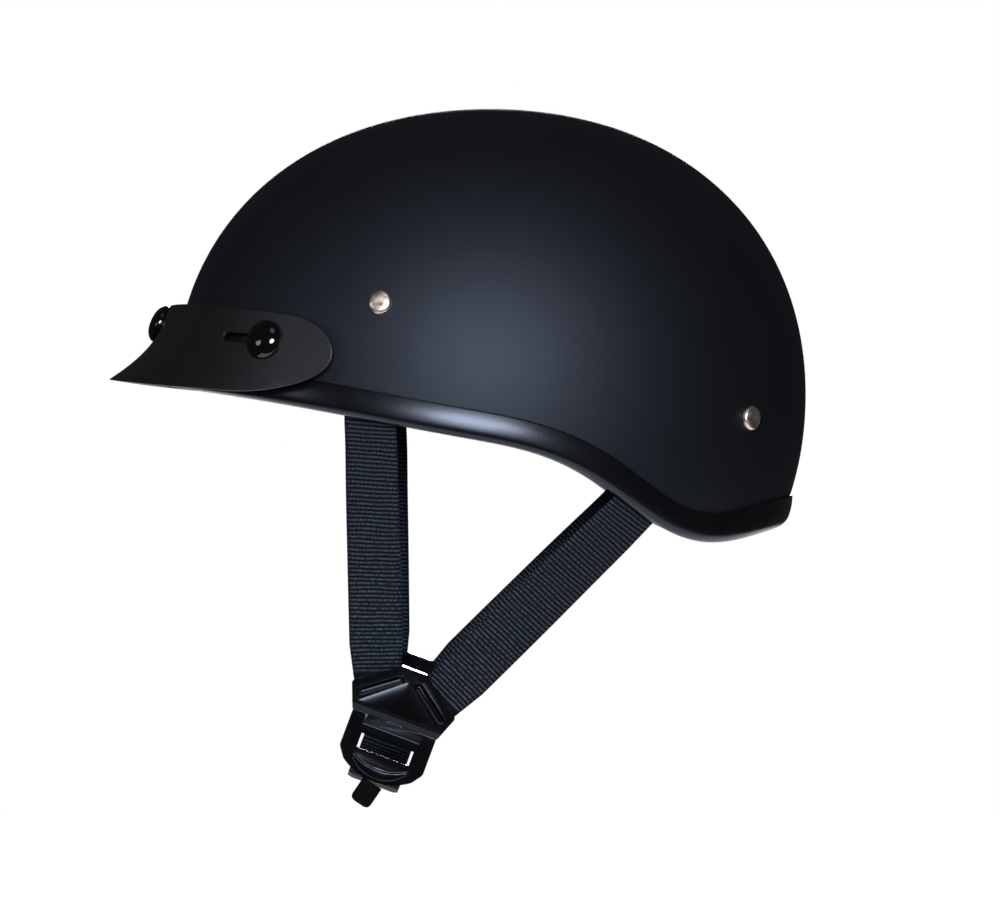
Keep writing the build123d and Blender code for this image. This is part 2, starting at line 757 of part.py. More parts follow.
def make_chin_strap():
    """Chin strap: looped round the plug's lock bar, under the chin, and round the right housing's bar."""
    left = buckle_x - lock_bar_depth
    path = [
        (left + lock_loop, -chin_tail_end), (left + lock_loop, lock_loop - lock_bar_drop),
        (left - lock_loop, lock_loop - lock_bar_drop), (left - lock_loop, -chin_left_corner),
        (chin_flat_half, -chin_level), (-chin_flat_half, -chin_level),
        (chin_loop - buckle_x, -chin_right_corner), (chin_loop - buckle_x, chin_loop - chin_bar_drop),
        (-chin_loop - buckle_x, chin_loop - chin_bar_drop),
        (-chin_loop - buckle_x, chin_loop - chin_bar_drop - chin_sewn_length),
    ]
    radii = [lock_loop - face_gap, lock_loop - face_gap, chin_left_radius, chin_flat_radius, chin_flat_radius,
             chin_right_radius, chin_loop - face_gap, chin_loop - face_gap]
    band = trace(FilletPolyline(*path, radius=radii), webbing_thickness)
    return extrude(chin_plane() * band, webbing_width / 2, both=True)


def make_strap_tail():
    """The chin strap's folded end, which hangs below the plug."""
    outer = -lock_bar_depth + lock_loop - webbing_thickness / 2
    tongue = Box(tail_width, tail_length, tail_thickness, align=(Align.CENTER, Align.MAX, Align.MAX))
    tongue = fillet(tongue.edges().filter_by(Axis.Z).sort_by(Axis.Y)[:2], tail_width / 5)
    drop = chin_tail_end + soft_gap + tail_width / 2 * sin(radians(tail_tilt))
    place = Pos(0, -drop, outer + webbing_thickness) * Rot(0, 0, -tail_tilt)
    return place * tongue


# Right housing

def make_right_yoke():
    """Right housing, in the left buckle's frame before it is mirrored: straps above, a hinge bar below."""
    block = yoke_face_details(yoke_block(yoke_back_plate - yoke_back, yoke_face))
    panel = Pos(0, 0, yoke_face - channel_depth) * extrude(button_outline(), overrun)
    block = block - strap_pockets() - strap_bars() - panel
    length = chin_bar_drop + chin_bar_diameter
    arm = Box(chin_arm_width, length, 2 * chin_arm_half_depth, align=(Align.MIN, Align.MAX, Align.CENTER))
    arm = fillet(arm.edges().filter_by(Axis.X).sort_by(Axis.Y)[:2], chin_arm_half_depth - face_gap)
    inner = webbing_width / 2 + chin_arm_gap
    for arm_side in (inner, -inner - chin_arm_width):
        block = block + Pos(arm_side, 0, 0) * arm
    return block - chin_bar()


def chin_bar():
    length = webbing_width + 2 * (chin_arm_gap + chin_arm_width - bar_seat)
    return Pos(0, -chin_bar_drop, 0) * cross_rod(chin_bar_diameter, length)


# Visor and its snaps

def visor_section(angle):
    """Closed thin profile of the blade in an upright plane through Z, at an angle from straight ahead."""
    turn = radians(angle)
    way = Vector(sin(turn), -cos(turn), 0)
    flare = cos(radians(90 * min(abs(angle) / visor_flare_angle, 1)))**2
    inner, outer = [], []
    for level_share, flare_share in zip(visor_level_shares, visor_flare_shares):
        level = level_share * crown_height
        found = hits(outer_dome, Axis((0, 0, level), way))
        point = max((hit[0] for hit in found), key=lambda p: p.dot(way))
        stand = visor_side_stand + flare_share * shell_half_length * flare
        inner.append(point + way * stand)
    line = Spline(*inner)
    side = way.cross(Vector(0, 0, 1))
    for k, point in enumerate(inner):
        along = line % (line.param_at_point(point))
        outer.append(point + along.cross(side).normalized() * visor_wall)
    if (outer[0] - inner[0]).dot(way) < 0:
        outer = [point * 2 - moved for point, moved in zip(inner, outer)]
    edges = [*line.edges(), Edge.make_line(inner[-1], outer[-1]), *Spline(*outer[::-1]).edges(),
             Edge.make_line(outer[0], inner[0])]
    return make_face(edges)


def visor_blade():
    """The blade before its slots are cut: a loft round the front, cut to its outline from the side."""
    count = visor_half_sections
    angles = [visor_section_angle * k / count for k in range(-count, count + 1)]
    band = loft([visor_section(angle) for angle in angles])
    outline = Spline(*share_points(visor_outline_shares, shell_half_length, crown_height))
    face = make_face([*outline.edges(), *Line(outline @ 1, outline @ 0).edges()])
    return band & extrude(Plane.YZ * face, shell_half_width + overrun, both=True)


def blade_heights(blade, place, radius):
    """Lowest inner and highest outer face of the blade over a round footprint about a snap's axis."""
    inner, outer = [], []
    for turn in range(0, 360, 45):
        side = place.x_dir * cos(radians(turn)) + place.y_dir * sin(radians(turn))
        for reach in (0, radius):
            found = hits(blade, Axis(place.origin + side * reach, place.z_dir))
            heights = [(point - place.origin).dot(place.z_dir) for point, normal in found]
            inner.append(min(height for height in heights if height > -overrun / 4))
            outer.append(max(heights))
    return min(inner), max(outer)


def cap_plane(blade, place):
    """Plane on the blade's outer face where a snap's axis meets it, square to the blade."""
    found = hits(blade, Axis(place.origin, place.z_dir))
    point, normal = max(found, key=lambda hit: (hit[0] - place.origin).dot(place.z_dir))
    if normal.dot(place.z_dir) < 0:
        normal = -normal
    return Plane(origin=point, x_dir=(-normal.Y, normal.X, 0), z_dir=normal)


def make_visor(blade):
    """The blade with a hole for the middle snap and a long slot for each side snap."""
    front, side = [cap_plane(blade, place) for place in snap_places()]
    middle = (slot_backward - slot_forward) / 2
    slot = Pos(middle, 0, 0) * SlotOverall(slot_forward + slot_backward, slot_height)
    slot = Rot(0, 0, -slot_tilt) * slot
    cut = extrude(side * slot, overrun, both=True)
    hole = front * rod(snap_post_diameter + 2 * hole_gap, -overrun, overrun)
    return blade - both_sides(cut) - hole


def make_snap_socket(place, roof):
    """Socket: a cup open to the shell, wide enough for the stud to leave it sideways."""
    cup = rod(snap_socket_diameter, snap_rise, roof)
    return place * (cup - rod(snap_socket_diameter - 2 * snap_socket_wall, 0, snap_stud_height + snap_roof))


def make_snap_spring(place):
    """The two straight wires of the socket's spring, one each side of the stud's neck."""
    apart = (snap_stud_diameter + snap_spring_wire) / 2 + hole_gap
    radius = snap_socket_diameter / 2 - snap_socket_wall
    length = 2 * sqrt(radius**2 - (apart + snap_spring_wire / 2)**2) - hole_gap
    level = snap_rise + snap_spring_wire
    wires = [place * (Pos(0, way * apart, level) * cross_rod(snap_spring_wire, length)) for way in (-1, 1)]
    return [solid for wire in wires for solid in wire.solids()]


def make_snap_cap(blade, place):
    """Cap: a glossy domed button over the blade, with a post through it towards the socket."""
    seat = cap_plane(blade, place)
    rise = blade_heights(blade, seat, snap_cap_diameter / 2)[1] + hole_gap
    cap = Pos(0, 0, rise) * domed(snap_cap_diameter, snap_cap_edge, snap_cap_height)
    return seat * (cap + rod(snap_post_diameter, -visor_wall, rise + snap_cap_edge / 2))


def make_snaps(blade):
    caps, sockets, springs = [], [], []
    for number, place in enumerate(snap_places()):
        roof = blade_heights(blade, place, snap_socket_diameter / 2)[0] - soft_gap
        print("snap", number, "socket height", round(roof - snap_rise, 2))
        spread = both_sides if number else lambda shape: shape.solids()
        caps += spread(make_snap_cap(blade, place))
        sockets += spread(make_snap_socket(place, roof))
        for wire in make_snap_spring(place):
            springs += spread(wire)
    return caps, sockets, springs


def group(solids):
    """Several separate solids in one node."""
    return Compound([solid for shape in solids for solid in shape.solids()])


def make_parts():
    left = buckle_plane()
    parts = {
        "shell": make_shell(),
        "edge_trim": make_trim(),
        "foam_liner": make_foam(),
        "liner_skirt": make_skirt(),
        **make_pads(),
        "strap_rivets": group(make_rivets()),
        "rivet_washers": group(make_rivet_washers()),
        "snap_studs": group(make_snap_studs()),
        "stud_washers": group(make_stud_washers()),
    }
    front = side_strap(-1, front_rivet, front_exit)
    rear = side_strap(1, rear_rivet, rear_exit)
    parts.update({
        "front_strap_left": front, "rear_strap_left": rear,
        "front_strap_right": on_right(front), "rear_strap_right": on_right(rear),
        "buckle_housing": left * make_housing(),
        "housing_back_plate": left * make_back_plate(),
        "housing_bars": group([left * bar for bar in strap_bars()]),
        "release_button": left * make_button(),
        "buckle_plug": left * make_plug(),
        "latch_arm": left * make_latch(),
        "lock_bar": left * lock_bar(),
        "chin_strap": make_chin_strap(),
        "strap_tail": left * make_strap_tail(),
        "right_yoke": on_right(left * make_right_yoke()),
        "yoke_back_plate": on_right(left * make_back_plate()),
        "yoke_bars": group([on_right(left * bar) for bar in strap_bars()]),
        "chin_hinge_bar": on_right(left * chin_bar()),
    })
    blade = visor_blade()
    caps, sockets, springs = make_snaps(blade)
    parts.update({
        "visor": make_visor(blade), "snap_caps": group(caps),
        "snap_sockets": group(sockets), "snap_springs": group(springs),
    })
    return parts


outer_dome = dome(0)
os.makedirs("parts", exist_ok=True)
for name, shape in make_parts().items():
    export_step(shape, f"parts/{name}.step")
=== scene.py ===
import bmesh
import bpy
import numpy as np
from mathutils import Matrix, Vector


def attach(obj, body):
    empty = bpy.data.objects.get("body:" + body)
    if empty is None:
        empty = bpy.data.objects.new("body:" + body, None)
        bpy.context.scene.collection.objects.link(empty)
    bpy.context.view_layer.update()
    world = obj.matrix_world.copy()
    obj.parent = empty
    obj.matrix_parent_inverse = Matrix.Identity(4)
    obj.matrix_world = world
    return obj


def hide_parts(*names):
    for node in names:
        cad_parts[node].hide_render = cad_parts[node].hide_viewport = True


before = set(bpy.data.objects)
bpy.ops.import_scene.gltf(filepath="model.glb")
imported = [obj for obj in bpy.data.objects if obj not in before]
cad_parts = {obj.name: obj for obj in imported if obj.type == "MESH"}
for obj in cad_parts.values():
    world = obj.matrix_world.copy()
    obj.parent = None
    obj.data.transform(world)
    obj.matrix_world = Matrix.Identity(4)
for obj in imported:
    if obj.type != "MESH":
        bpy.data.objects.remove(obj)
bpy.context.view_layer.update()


# Shell: the helmet's half dome, moulded in ABS 3 mm thick, and sprayed matte black.
# Its side profile is two Bezier quarters that meet at the widest line, turned about Z and
# narrowed across. Its lower edge is a curve drawn in the side view.

SHELL_HALF_WIDTH = 0.107
SHELL_HALF_LENGTH = 0.134
SHELL_CROWN = 0.121
SHELL_DEPTH = 0.125  # from the widest line down to where the profile would close
SHELL_FULLNESS = 0.598  # how far the handles reach along each Bezier quarter
SHELL_WALL = 0.003
SHELL_RISE = 0.002  # the wall ends this far above the edge curve, inside the trim
SHELL_ROWS = 72
MERIDIANS = 240
LOWEST_SHARE, HALVINGS = 1.9, 36  # where the search for the edge begins, and how often it halves
RIM_Y = np.array([-0.140, -0.0990, -0.0590, -0.0090, 0.0255, 0.0445, 0.0690, 0.0900, 0.1201, 0.1450])
RIM_Z = np.array([0.0044, -0.0018, -0.0091, -0.0184, -0.0268, -0.0365, -0.0541, -0.0611, -0.0560, -0.0515])
RIM_SAMPLES = 400
DOUBLED = 1e-6  # points closer than this are one point, as at the crown


def dome_point(azimuth, share, inset):
    """Points on the dome, inset from its outer face. Azimuth runs from the front to the wearer's left,
    share down the profile: 0 at the crown, 1 at the widest line, 2 at the bottom. Each quarter is a
    cubic Bezier: the radius has the values 0, fullness, 1, 1 of its reach, and the height 1, 1,
    fullness, 0. Below the widest line the two change places."""
    azimuth, share = np.broadcast_arrays(azimuth, share)
    reach, up, down = SHELL_HALF_LENGTH - inset, SHELL_CROWN - inset, SHELL_DEPTH - inset
    t = np.where(share < 1, share, share - 1)
    a, b, c, d = (1 - t)**3, 3 * t * (1 - t)**2, 3 * t**2 * (1 - t), t**3
    over = share < 1
    radius = np.where(over, reach * (b * SHELL_FULLNESS + c + d), reach * (a + b + c * SHELL_FULLNESS))
    height = np.where(over, up * (a + b + c * SHELL_FULLNESS), -down * (b * SHELL_FULLNESS + c + d))
    x = radius * np.sin(azimuth) * (SHELL_HALF_WIDTH - inset) / reach
    return np.stack([x, -radius * np.cos(azimuth), height], axis=-1)


def smooth_curve(knots, values, at):
    """Natural cubic spline: its second derivatives solve a tridiagonal system of the knots' gaps,
    and each span is the cubic that has them at its two ends."""
    gap, n = np.diff(knots), len(knots)
    matrix, side = np.eye(n), np.zeros((n,) + values.shape[1:])
    inner = np.arange(1, n - 1)
    matrix[inner, inner - 1], matrix[inner, inner + 1] = gap[:-1], gap[1:]
    matrix[inner, inner] = 2 * (gap[:-1] + gap[1:])
    wide = gap.reshape((-1,) + (1,) * (values.ndim - 1))
    slope = np.diff(values, axis=0) / wide
    side[1:-1] = 6 * np.diff(slope, axis=0)
    bend = np.linalg.solve(matrix, side)
    k = np.clip(np.searchsorted(knots, at) - 1, 0, n - 2)
    g, a = wide[k], (at - knots[k]).reshape((-1,) + (1,) * (values.ndim - 1))
    b = g - a
    return ((bend[k] * b**3 + bend[k + 1] * a**3) / (6 * g)
            + (values[k] / g - bend[k] * g / 6) * b + (values[k + 1] / g - bend[k + 1] * g / 6) * a)


rim_y = np.linspace(RIM_Y[0], RIM_Y[-1], RIM_SAMPLES)
rim_z = smooth_curve(RIM_Y, RIM_Z, rim_y)


def rim_height(y, rise):
    """Height of the lower edge at y, after the edge is moved square to itself by rise."""
    slope = np.gradient(rim_z, rim_y)
    length = np.sqrt(1 + slope**2)
    return np.interp(y, rim_y - slope / length * rise, rim_z + rise / length)


def edge_share(azimuth, inset, rise):
    """Profile share at which each meridian meets the lower edge, found by halving the range."""
    low, high = np.zeros_like(azimuth), np.full_like(azimuth, LOWEST_SHARE)
    for _ in range(HALVINGS):
        middle = (low + high) / 2
        point = dome_point(azimuth, middle, inset)
        above = point[..., 2] > rim_height(point[..., 1], rise)
        low, high = np.where(above, middle, low), np.where(above, high, middle)
    return low


around = np.linspace(0, 2 * np.pi, MERIDIANS, endpoint=False)


def bowl_rows(outer, inner, rise, count):
    """Rows of points down the outer face of a bowl and back up its inner one. On each meridian the
    rows are even shares of the way from the crown to the lower edge, moved up by rise."""
    down = np.linspace(0, 1, count)[:, None]
    return np.concatenate([dome_point(around, edge_share(around, outer, rise) * down, outer),
                           dome_point(around, edge_share(around, inner, rise) * down[::-1], inner)])


def lattice_faces(rows, columns, close_rows=False, close_columns=False):
    """Quads of a rows by columns lattice of points, wrapped round in either direction."""
    r, c = np.arange(rows if close_rows else rows - 1), np.arange(columns if close_columns else columns - 1)
    r, c = [grid.ravel() for grid in np.meshgrid(r, c, indexing="ij")]
    r2, c2 = (r + 1) % rows, (c + 1) % columns
    return np.stack([r * columns + c, r * columns + c2, r2 * columns + c2, r2 * columns + c], axis=1)


def turn_outwards(mesh, merge=0):
    """Merges a mesh's points that lie closer than a distance, and turns its faces outwards."""
    work = bmesh.new()
    work.from_mesh(mesh)
    if merge:
        bmesh.ops.remove_doubles(work, verts=work.verts, dist=merge)
    bmesh.ops.recalc_face_normals(work, faces=work.faces)
    work.to_mesh(mesh)
    work.free()


def add_piece(name, mesh, material, nodes, body):
    """A piece of the helmet from its mesh and its finish, which takes the place of frame nodes."""
    mesh.shade_smooth()
    mesh.materials.append(material)
    piece = bpy.data.objects.new(name, mesh)
    bpy.context.scene.collection.objects.link(piece)
    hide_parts(*nodes)
    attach(piece, body)
    return piece


def make_piece(name, points, faces, material, nodes, body):
    """A closed piece from points and quads."""
    mesh = bpy.data.meshes.new(name)
    mesh.from_pydata(np.asarray(points).reshape(-1, 3), [], np.asarray(faces))
    turn_outwards(mesh, merge=DOUBLED)
    return add_piece(name, mesh, material, nodes, body)


def colour(code):
    """A hex colour in sRGB as linear red, green, blue and alpha."""
    part = np.array([int(code[k:k + 2], 16) for k in (1, 3, 5)]) / 255
    linear = np.where(part <= 0.04045, part / 12.92, ((part + 0.055) / 1.055)**2.4)
    return (*linear.tolist(), 1.0)


def per_metre(size):
    """How many features of a size in millimetres fit in a metre, which is a pattern's scale."""
    return 1000 / size


def add(tree, kind, settings=(), links=()):
    """A node with its settings, by input name or by attribute, and links into its inputs."""
    node = tree.nodes.new(kind)
    for key, value in dict(settings).items():
        if key in node.inputs:
            node.inputs[key].default_value = value
        else:
            setattr(node, key, value)
    for key, source in dict(links).items():
        tree.links.new(source, node.inputs[key])
    return node


def new_finish(name):
    """An empty material and its node tree."""
    material = bpy.data.materials.new(name)
    material.use_nodes = True
    tree = material.node_tree
    tree.nodes.clear()
    return material, tree


# Matte black polyurethane coat: the sprayed droplets set as a grain, drawn 0.6 mm wide so that it
# shows, over a slow unevenness of the moulding. The light spreads into one wide soft sheen.
matte_coat, tree = new_finish("sprayed_matte_coat")
place = add(tree, "ShaderNodeTexCoord").outputs["Object"]
grain = add(tree, "ShaderNodeTexNoise", {"Scale": per_metre(0.625), "Detail": 3.0, "Roughness": 0.6},
            {"Vector": place})
drift = add(tree, "ShaderNodeTexNoise", {"Scale": per_metre(45.5), "Detail": 2.0}, {"Vector": place})
tone = add(tree, "ShaderNodeMix", {"data_type": "RGBA", "A": colour("#060607"), "B": colour("#0a0a0c")},
           {"Factor": drift.outputs["Fac"]})
dull = add(tree, "ShaderNodeMapRange", {"To Min": 0.54, "To Max": 0.58}, {"Value": drift.outputs["Fac"]})
relief = add(tree, "ShaderNodeBump", {"Strength": 0.10, "Distance": 0.0002}, {"Height": grain.outputs["Fac"]})
# Painted light: the coat's reflections are tinted blue, for a bluish light.
coat = add(tree, "ShaderNodeBsdfPrincipled", {"IOR": 1.5, "Specular Tint": colour("#c9dcff")},
           {"Base Color": tone.outputs[2], "Roughness": dull.outputs["Result"],
            "Normal": relief.outputs["Normal"]})
add(tree, "ShaderNodeOutputMaterial", links={"Surface": coat.outputs["BSDF"]})

rows = bowl_rows(0.0, SHELL_WALL, SHELL_RISE, SHELL_ROWS)
make_piece("shell_moulding", rows, lattice_faces(len(rows), MERIDIANS, close_columns=True),
           matte_coat, ["shell"], "helmet")


# Edge trim: a soft rubber U pushed over the shell's edge, with a broad outer lip that tapers to its
# top, a round bottom and a short lip inside. It is extruded, so its sheen runs along it.

TRIM_SECTION = np.array([  # rise above the edge and depth under the shell's face, round the U
    [0.0113, -0.0001], [0.0113, -0.0008], [0.0106, -0.00115], [0.0092, -0.00152], [0.0075, -0.0019],
    [0.0055, -0.00222], [0.0035, -0.0024], [0.0020, -0.00235], [0.0007, -0.0018], [-0.0003, -0.0006],
    [-0.0004, 0.0008], [0.0000, 0.0024],
    [0.0012, 0.0038], [0.0030, 0.0043], [0.0060, 0.0043], [0.0076, 0.0040], [0.0080, 0.0032],
    [0.0060, 0.00302], [0.0035, 0.00302], [0.0021, 0.0028], [0.0019, 0.0015], [0.0021, 0.0001],
    [0.0040, -0.00002], [0.0080, -0.00002],
])
TRIM_STEPS = 88

# Extruded rubber: a waxy haze in patches about 20 mm long over pores of 1 mm, with a satin gloss.
rubber, tree = new_finish("extruded_rubber")
place = add(tree, "ShaderNodeTexCoord").outputs["Object"]
haze = add(tree, "ShaderNodeTexNoise", {"Scale": per_metre(22.2), "Detail": 4.0}, {"Vector": place})
pores = add(tree, "ShaderNodeTexNoise", {"Scale": per_metre(1.11), "Detail": 2.0}, {"Vector": place})
tone = add(tree, "ShaderNodeMix", {"data_type": "RGBA", "A": colour("#060607"), "B": colour("#0b0b0d")},
           {"Factor": haze.outputs["Fac"]})
dull = add(tree, "ShaderNodeMapRange", {"To Min": 0.24, "To Max": 0.33}, {"Value": haze.outputs["Fac"]})
relief = add(tree, "ShaderNodeBump", {"Strength": 0.08, "Distance": 0.0002}, {"Height": pores.outputs["Fac"]})
# Painted light: the rubber's reflections are tinted blue, for a bluish light.
coat = add(tree, "ShaderNodeBsdfPrincipled", {"IOR": 1.52, "Specular Tint": colour("#d3e2ff")},
           {"Base Color": tone.outputs[2], "Roughness": dull.outputs["Result"],
            "Normal": relief.outputs["Normal"]})
add(tree, "ShaderNodeOutputMaterial", links={"Surface": coat.outputs["BSDF"]})


def edging_rows(section):
    """Rows of points for a section of (rise, depth) pairs, carried round the helmet: each pair follows
    the lower edge, moved up by its rise, on the dome that is inset by its depth."""
    return np.stack([dome_point(around, edge_share(around, depth, rise), depth) for rise, depth in section])


turn = np.arange(len(TRIM_SECTION) + 1.0)
closed = np.vstack([TRIM_SECTION, TRIM_SECTION[:1]])
section = smooth_curve(turn, closed, np.linspace(0, len(TRIM_SECTION), TRIM_STEPS, endpoint=False))
make_piece("rubber_edging", edging_rows(section),
           lattice_faces(TRIM_STEPS, MERIDIANS, close_rows=True, close_columns=True),
           rubber, ["edge_trim"], "helmet")


# Foam liner: the bowl of bead foam, 15 mm thick, that is pressed into the shell.
# It is moulded from swollen beads about 3 mm wide, which show as cells in its face.

FOAM_OUTER, FOAM_INNER = 0.0033, 0.0183
FOAM_RISE = 0.009
FOAM_ROWS = 40

# Moulded bead foam: each bead is a cell with a groove round it, painted lighter in its middle as
# light on its dome, and darker in the groove as painted shade.
bead_foam, tree = new_finish("moulded_bead_foam")
place = add(tree, "ShaderNodeTexCoord").outputs["Object"]
beads = add(tree, "ShaderNodeTexVoronoi", {"Scale": per_metre(3.125)}, {"Vector": place})
tone = add(tree, "ShaderNodeMix", {"data_type": "RGBA", "A": colour("#2e2e30"), "B": colour("#1a1a1c")},
           {"Factor": beads.outputs["Distance"]})
relief = add(tree, "ShaderNodeBump", {"Strength": 0.5, "Distance": 0.0004, "invert": True},
             {"Height": beads.outputs["Distance"]})
coat = add(tree, "ShaderNodeBsdfPrincipled", {"IOR": 1.45, "Roughness": 0.8},
           {"Base Color": tone.outputs[2], "Normal": relief.outputs["Normal"]})
add(tree, "ShaderNodeOutputMaterial", links={"Surface": coat.outputs["BSDF"]})

rows = bowl_rows(FOAM_OUTER, FOAM_INNER, FOAM_RISE, FOAM_ROWS)
make_piece("foam_bowl", rows, lattice_faces(len(rows), MERIDIANS, close_columns=True),
           bead_foam, ["foam_liner"], "helmet")


# Liner skirt: a band of black cloth glued over the foam's lower face, between the trim and the pads.
# Plain woven, with threads about 0.7 mm apart.

SKIRT_SECTION = np.array([  # rise above the edge and depth under the shell's face
    [0.0064, 0.0076], [0.0062, 0.0130], [0.0064, 0.0182],
    [0.0084, 0.0182], [0.0086, 0.0130], [0.0084, 0.0076],
])

# Woven liner cloth: dull, with a weak grey sheen from its loose fibres.
skirt_cloth, tree = new_finish("woven_liner_cloth")
place = add(tree, "ShaderNodeTexCoord").outputs["Object"]
weave = add(tree, "ShaderNodeTexNoise", {"Scale": per_metre(0.714), "Detail": 1.0}, {"Vector": place})
tone = add(tree, "ShaderNodeMix", {"data_type": "RGBA", "A": colour("#131315"), "B": colour("#1f1f22")},
           {"Factor": weave.outputs["Fac"]})
relief = add(tree, "ShaderNodeBump", {"Strength": 0.4, "Distance": 0.0002}, {"Height": weave.outputs["Fac"]})
coat = add(tree, "ShaderNodeBsdfPrincipled",
           {"Roughness": 0.85, "Sheen Weight": 0.25, "Sheen Roughness": 0.5, "Sheen Tint": colour("#8a8a92")},
           {"Base Color": tone.outputs[2], "Normal": relief.outputs["Normal"]})
add(tree, "ShaderNodeOutputMaterial", links={"Surface": coat.outputs["BSDF"]})

make_piece("liner_skirt_band", edging_rows(SKIRT_SECTION),
           lattice_faces(len(SKIRT_SECTION), MERIDIANS, close_rows=True, close_columns=True),
           skirt_cloth, ["liner_skirt"], "helmet")


# Comfort pads: five pads of soft foam in brushed knit, held in the liner by hook tape. Each swells
# 5 mm inwards in the middle, and draws in to a sewn edge all round.

PAD_OUTER, PAD_THICKNESS = 0.0186, 0.0050
PAD_TOP, PAD_RISE = 0.0648, 0.003  # height of the ring pads' upper edge, and how far they end above the rim
CROWN_PAD_EDGE = 0.0674
PAD_ROWS, PAD_COLUMNS, CROWN_PAD_SIDE = 48, 60, 61
PROFILE_SAMPLES = 2000  # for each quarter of the profile
RING_PADS = (  # name, node, and the azimuths in degrees where it starts and ends
    ("brow_pad_cushion", "brow_pad", -39, 39),
    ("left_pad_cushion", "side_pad_left", 41, 139),
    ("neck_pad_cushion", "neck_pad", 141, 219),
    ("right_pad_cushion", "side_pad_right", 221, 319),
)

# Brushed knit: a raised nap about 1 mm long, which catches a pale sheen at the edges.
pad_knit, tree = new_finish("brushed_knit_pad_cloth")
place = add(tree, "ShaderNodeTexCoord").outputs["Object"]
nap = add(tree, "ShaderNodeTexNoise", {"Scale": per_metre(1.11), "Detail": 4.0, "Roughness": 0.7},
          {"Vector": place})
tone = add(tree, "ShaderNodeMix", {"data_type": "RGBA", "A": colour("#151517"), "B": colour("#242428")},
           {"Factor": nap.outputs["Fac"]})
relief = add(tree, "ShaderNodeBump", {"Strength": 0.5, "Distance": 0.0003}, {"Height": nap.outputs["Fac"]})
coat = add(tree, "ShaderNodeBsdfPrincipled",
           {"Roughness": 0.9, "Sheen Weight": 0.5, "Sheen Roughness": 0.4, "Sheen Tint": colour("#9a9aa2")},
           {"Base Color": tone.outputs[2], "Normal": relief.outputs["Normal"]})
add(tree, "ShaderNodeOutputMaterial", links={"Surface": coat.outputs["BSDF"]})


def make_pad(name, azimuth, share, node):
    """A pad over a lattice of dome places. Its face stands off its back by its thickness times the root
    of (1 - across^6)(1 - along^6), so it is flat in the middle and drawn in at the edge."""
    rows, columns = share.shape
    across = np.linspace(-1, 1, columns)[None, :]
    along = np.linspace(-1, 1, rows)[:, None]
    full = np.sqrt(np.clip((1 - across**6) * (1 - along**6), 0, 1))
    back = dome_point(azimuth, share, PAD_OUTER)
    face = dome_point(azimuth, share, PAD_OUTER + PAD_THICKNESS)
    face = back + (face - back) * full[..., None]
    faces = lattice_faces(rows, columns)
    points = np.concatenate([back.reshape(-1, 3), face.reshape(-1, 3)])
    piece = make_piece(name, points, np.concatenate([faces, faces[:, ::-1] + rows * columns]),
                       pad_knit, [node], "helmet")
    return piece


def share_at_level(level, inset):
    """Profile share at which the dome, inset, reaches a height."""
    share = np.linspace(0, 1, PROFILE_SAMPLES)
    return np.interp(-level, -dome_point(0.0, share, inset)[:, 2], share)


top = share_at_level(PAD_TOP, PAD_OUTER)
for name, node, start, end in RING_PADS:
    azimuth = np.radians(np.linspace(start, end, PAD_COLUMNS))[None, :]
    low = edge_share(azimuth[0], PAD_OUTER, PAD_RISE)[None, :]
    make_pad(name, azimuth, top + (low - top) * np.linspace(0, 1, PAD_ROWS)[:, None], node)

# The crown pad's square lattice is drawn in to a disc: x times the root of 1 - y^2 / 2, and y alike.
side_x, side_y = np.meshgrid(np.linspace(-1, 1, CROWN_PAD_SIDE), np.linspace(-1, 1, CROWN_PAD_SIDE))
round_x, round_y = side_x * np.sqrt(1 - side_y**2 / 2), side_y * np.sqrt(1 - side_x**2 / 2)
make_pad("crown_pad_cushion", np.arctan2(round_x, -round_y),
         share_at_level(CROWN_PAD_EDGE, PAD_OUTER) * np.hypot(round_x, round_y), "crown_pad")


# Strap rivets: nickel-plated brass domes, 10 mm across, four in all, each over a plain steel washer
# inside. The heads are the frame's, with their rims eased. The washers and all other steel, down to
# the snaps and the buckle, keep the frame's meshes.

RIVET_ROUND = 0.0002
CAD_DOUBLED = 2e-6
FLAT_ANGLE, SHARP_ANGLE = np.radians(1.0), np.radians(35)
ROUND_STEPS = 3
STEEL_PIECES = ("rivet_washers", "snap_studs", "stud_washers", "housing_bars", "yoke_bars", "lock_bar",
                "chin_hinge_bar", "latch_arm", "snap_sockets", "snap_springs")

# Polished nickel plate: bright, and smeared and dented by use in spots of about 2 mm. Its warm pink
# colour is partly the nickel's own and partly a painted reflection of warm surroundings.
plating, tree = new_finish("polished_nickel_plate")
place = add(tree, "ShaderNodeTexCoord").outputs["Object"]
smear = add(tree, "ShaderNodeTexNoise", {"Scale": per_metre(2.38), "Detail": 3.0}, {"Vector": place})
dull = add(tree, "ShaderNodeMapRange", {"From Min": 0.35, "From Max": 0.65, "To Min": 0.26, "To Max": 0.46},
           {"Value": smear.outputs["Fac"]})
dents = add(tree, "ShaderNodeBump", {"Strength": 0.14, "Distance": 0.0003}, {"Height": smear.outputs["Fac"]})
coat = add(tree, "ShaderNodeBsdfPrincipled", {"Base Color": colour("#f2e0d6"), "Metallic": 1.0},
           {"Roughness": dull.outputs["Result"], "Normal": dents.outputs["Normal"]})
add(tree, "ShaderNodeOutputMaterial", links={"Surface": coat.outputs["BSDF"]})

# Plain drawn steel: grey, with a gloss that varies in marks of about 1.5 mm.
plain_steel, tree = new_finish("plain_drawn_steel")
place = add(tree, "ShaderNodeTexCoord").outputs["Object"]
draw = add(tree, "ShaderNodeTexNoise", {"Scale": per_metre(1.43), "Detail": 2.0}, {"Vector": place})
dull = add(tree, "ShaderNodeMapRange", {"To Min": 0.28, "To Max": 0.42}, {"Value": draw.outputs["Fac"]})
coat = add(tree, "ShaderNodeBsdfPrincipled", {"Base Color": colour("#a8a8aa"), "Metallic": 1.0},
           {"Roughness": dull.outputs["Result"]})
add(tree, "ShaderNodeOutputMaterial", links={"Surface": coat.outputs["BSDF"]})


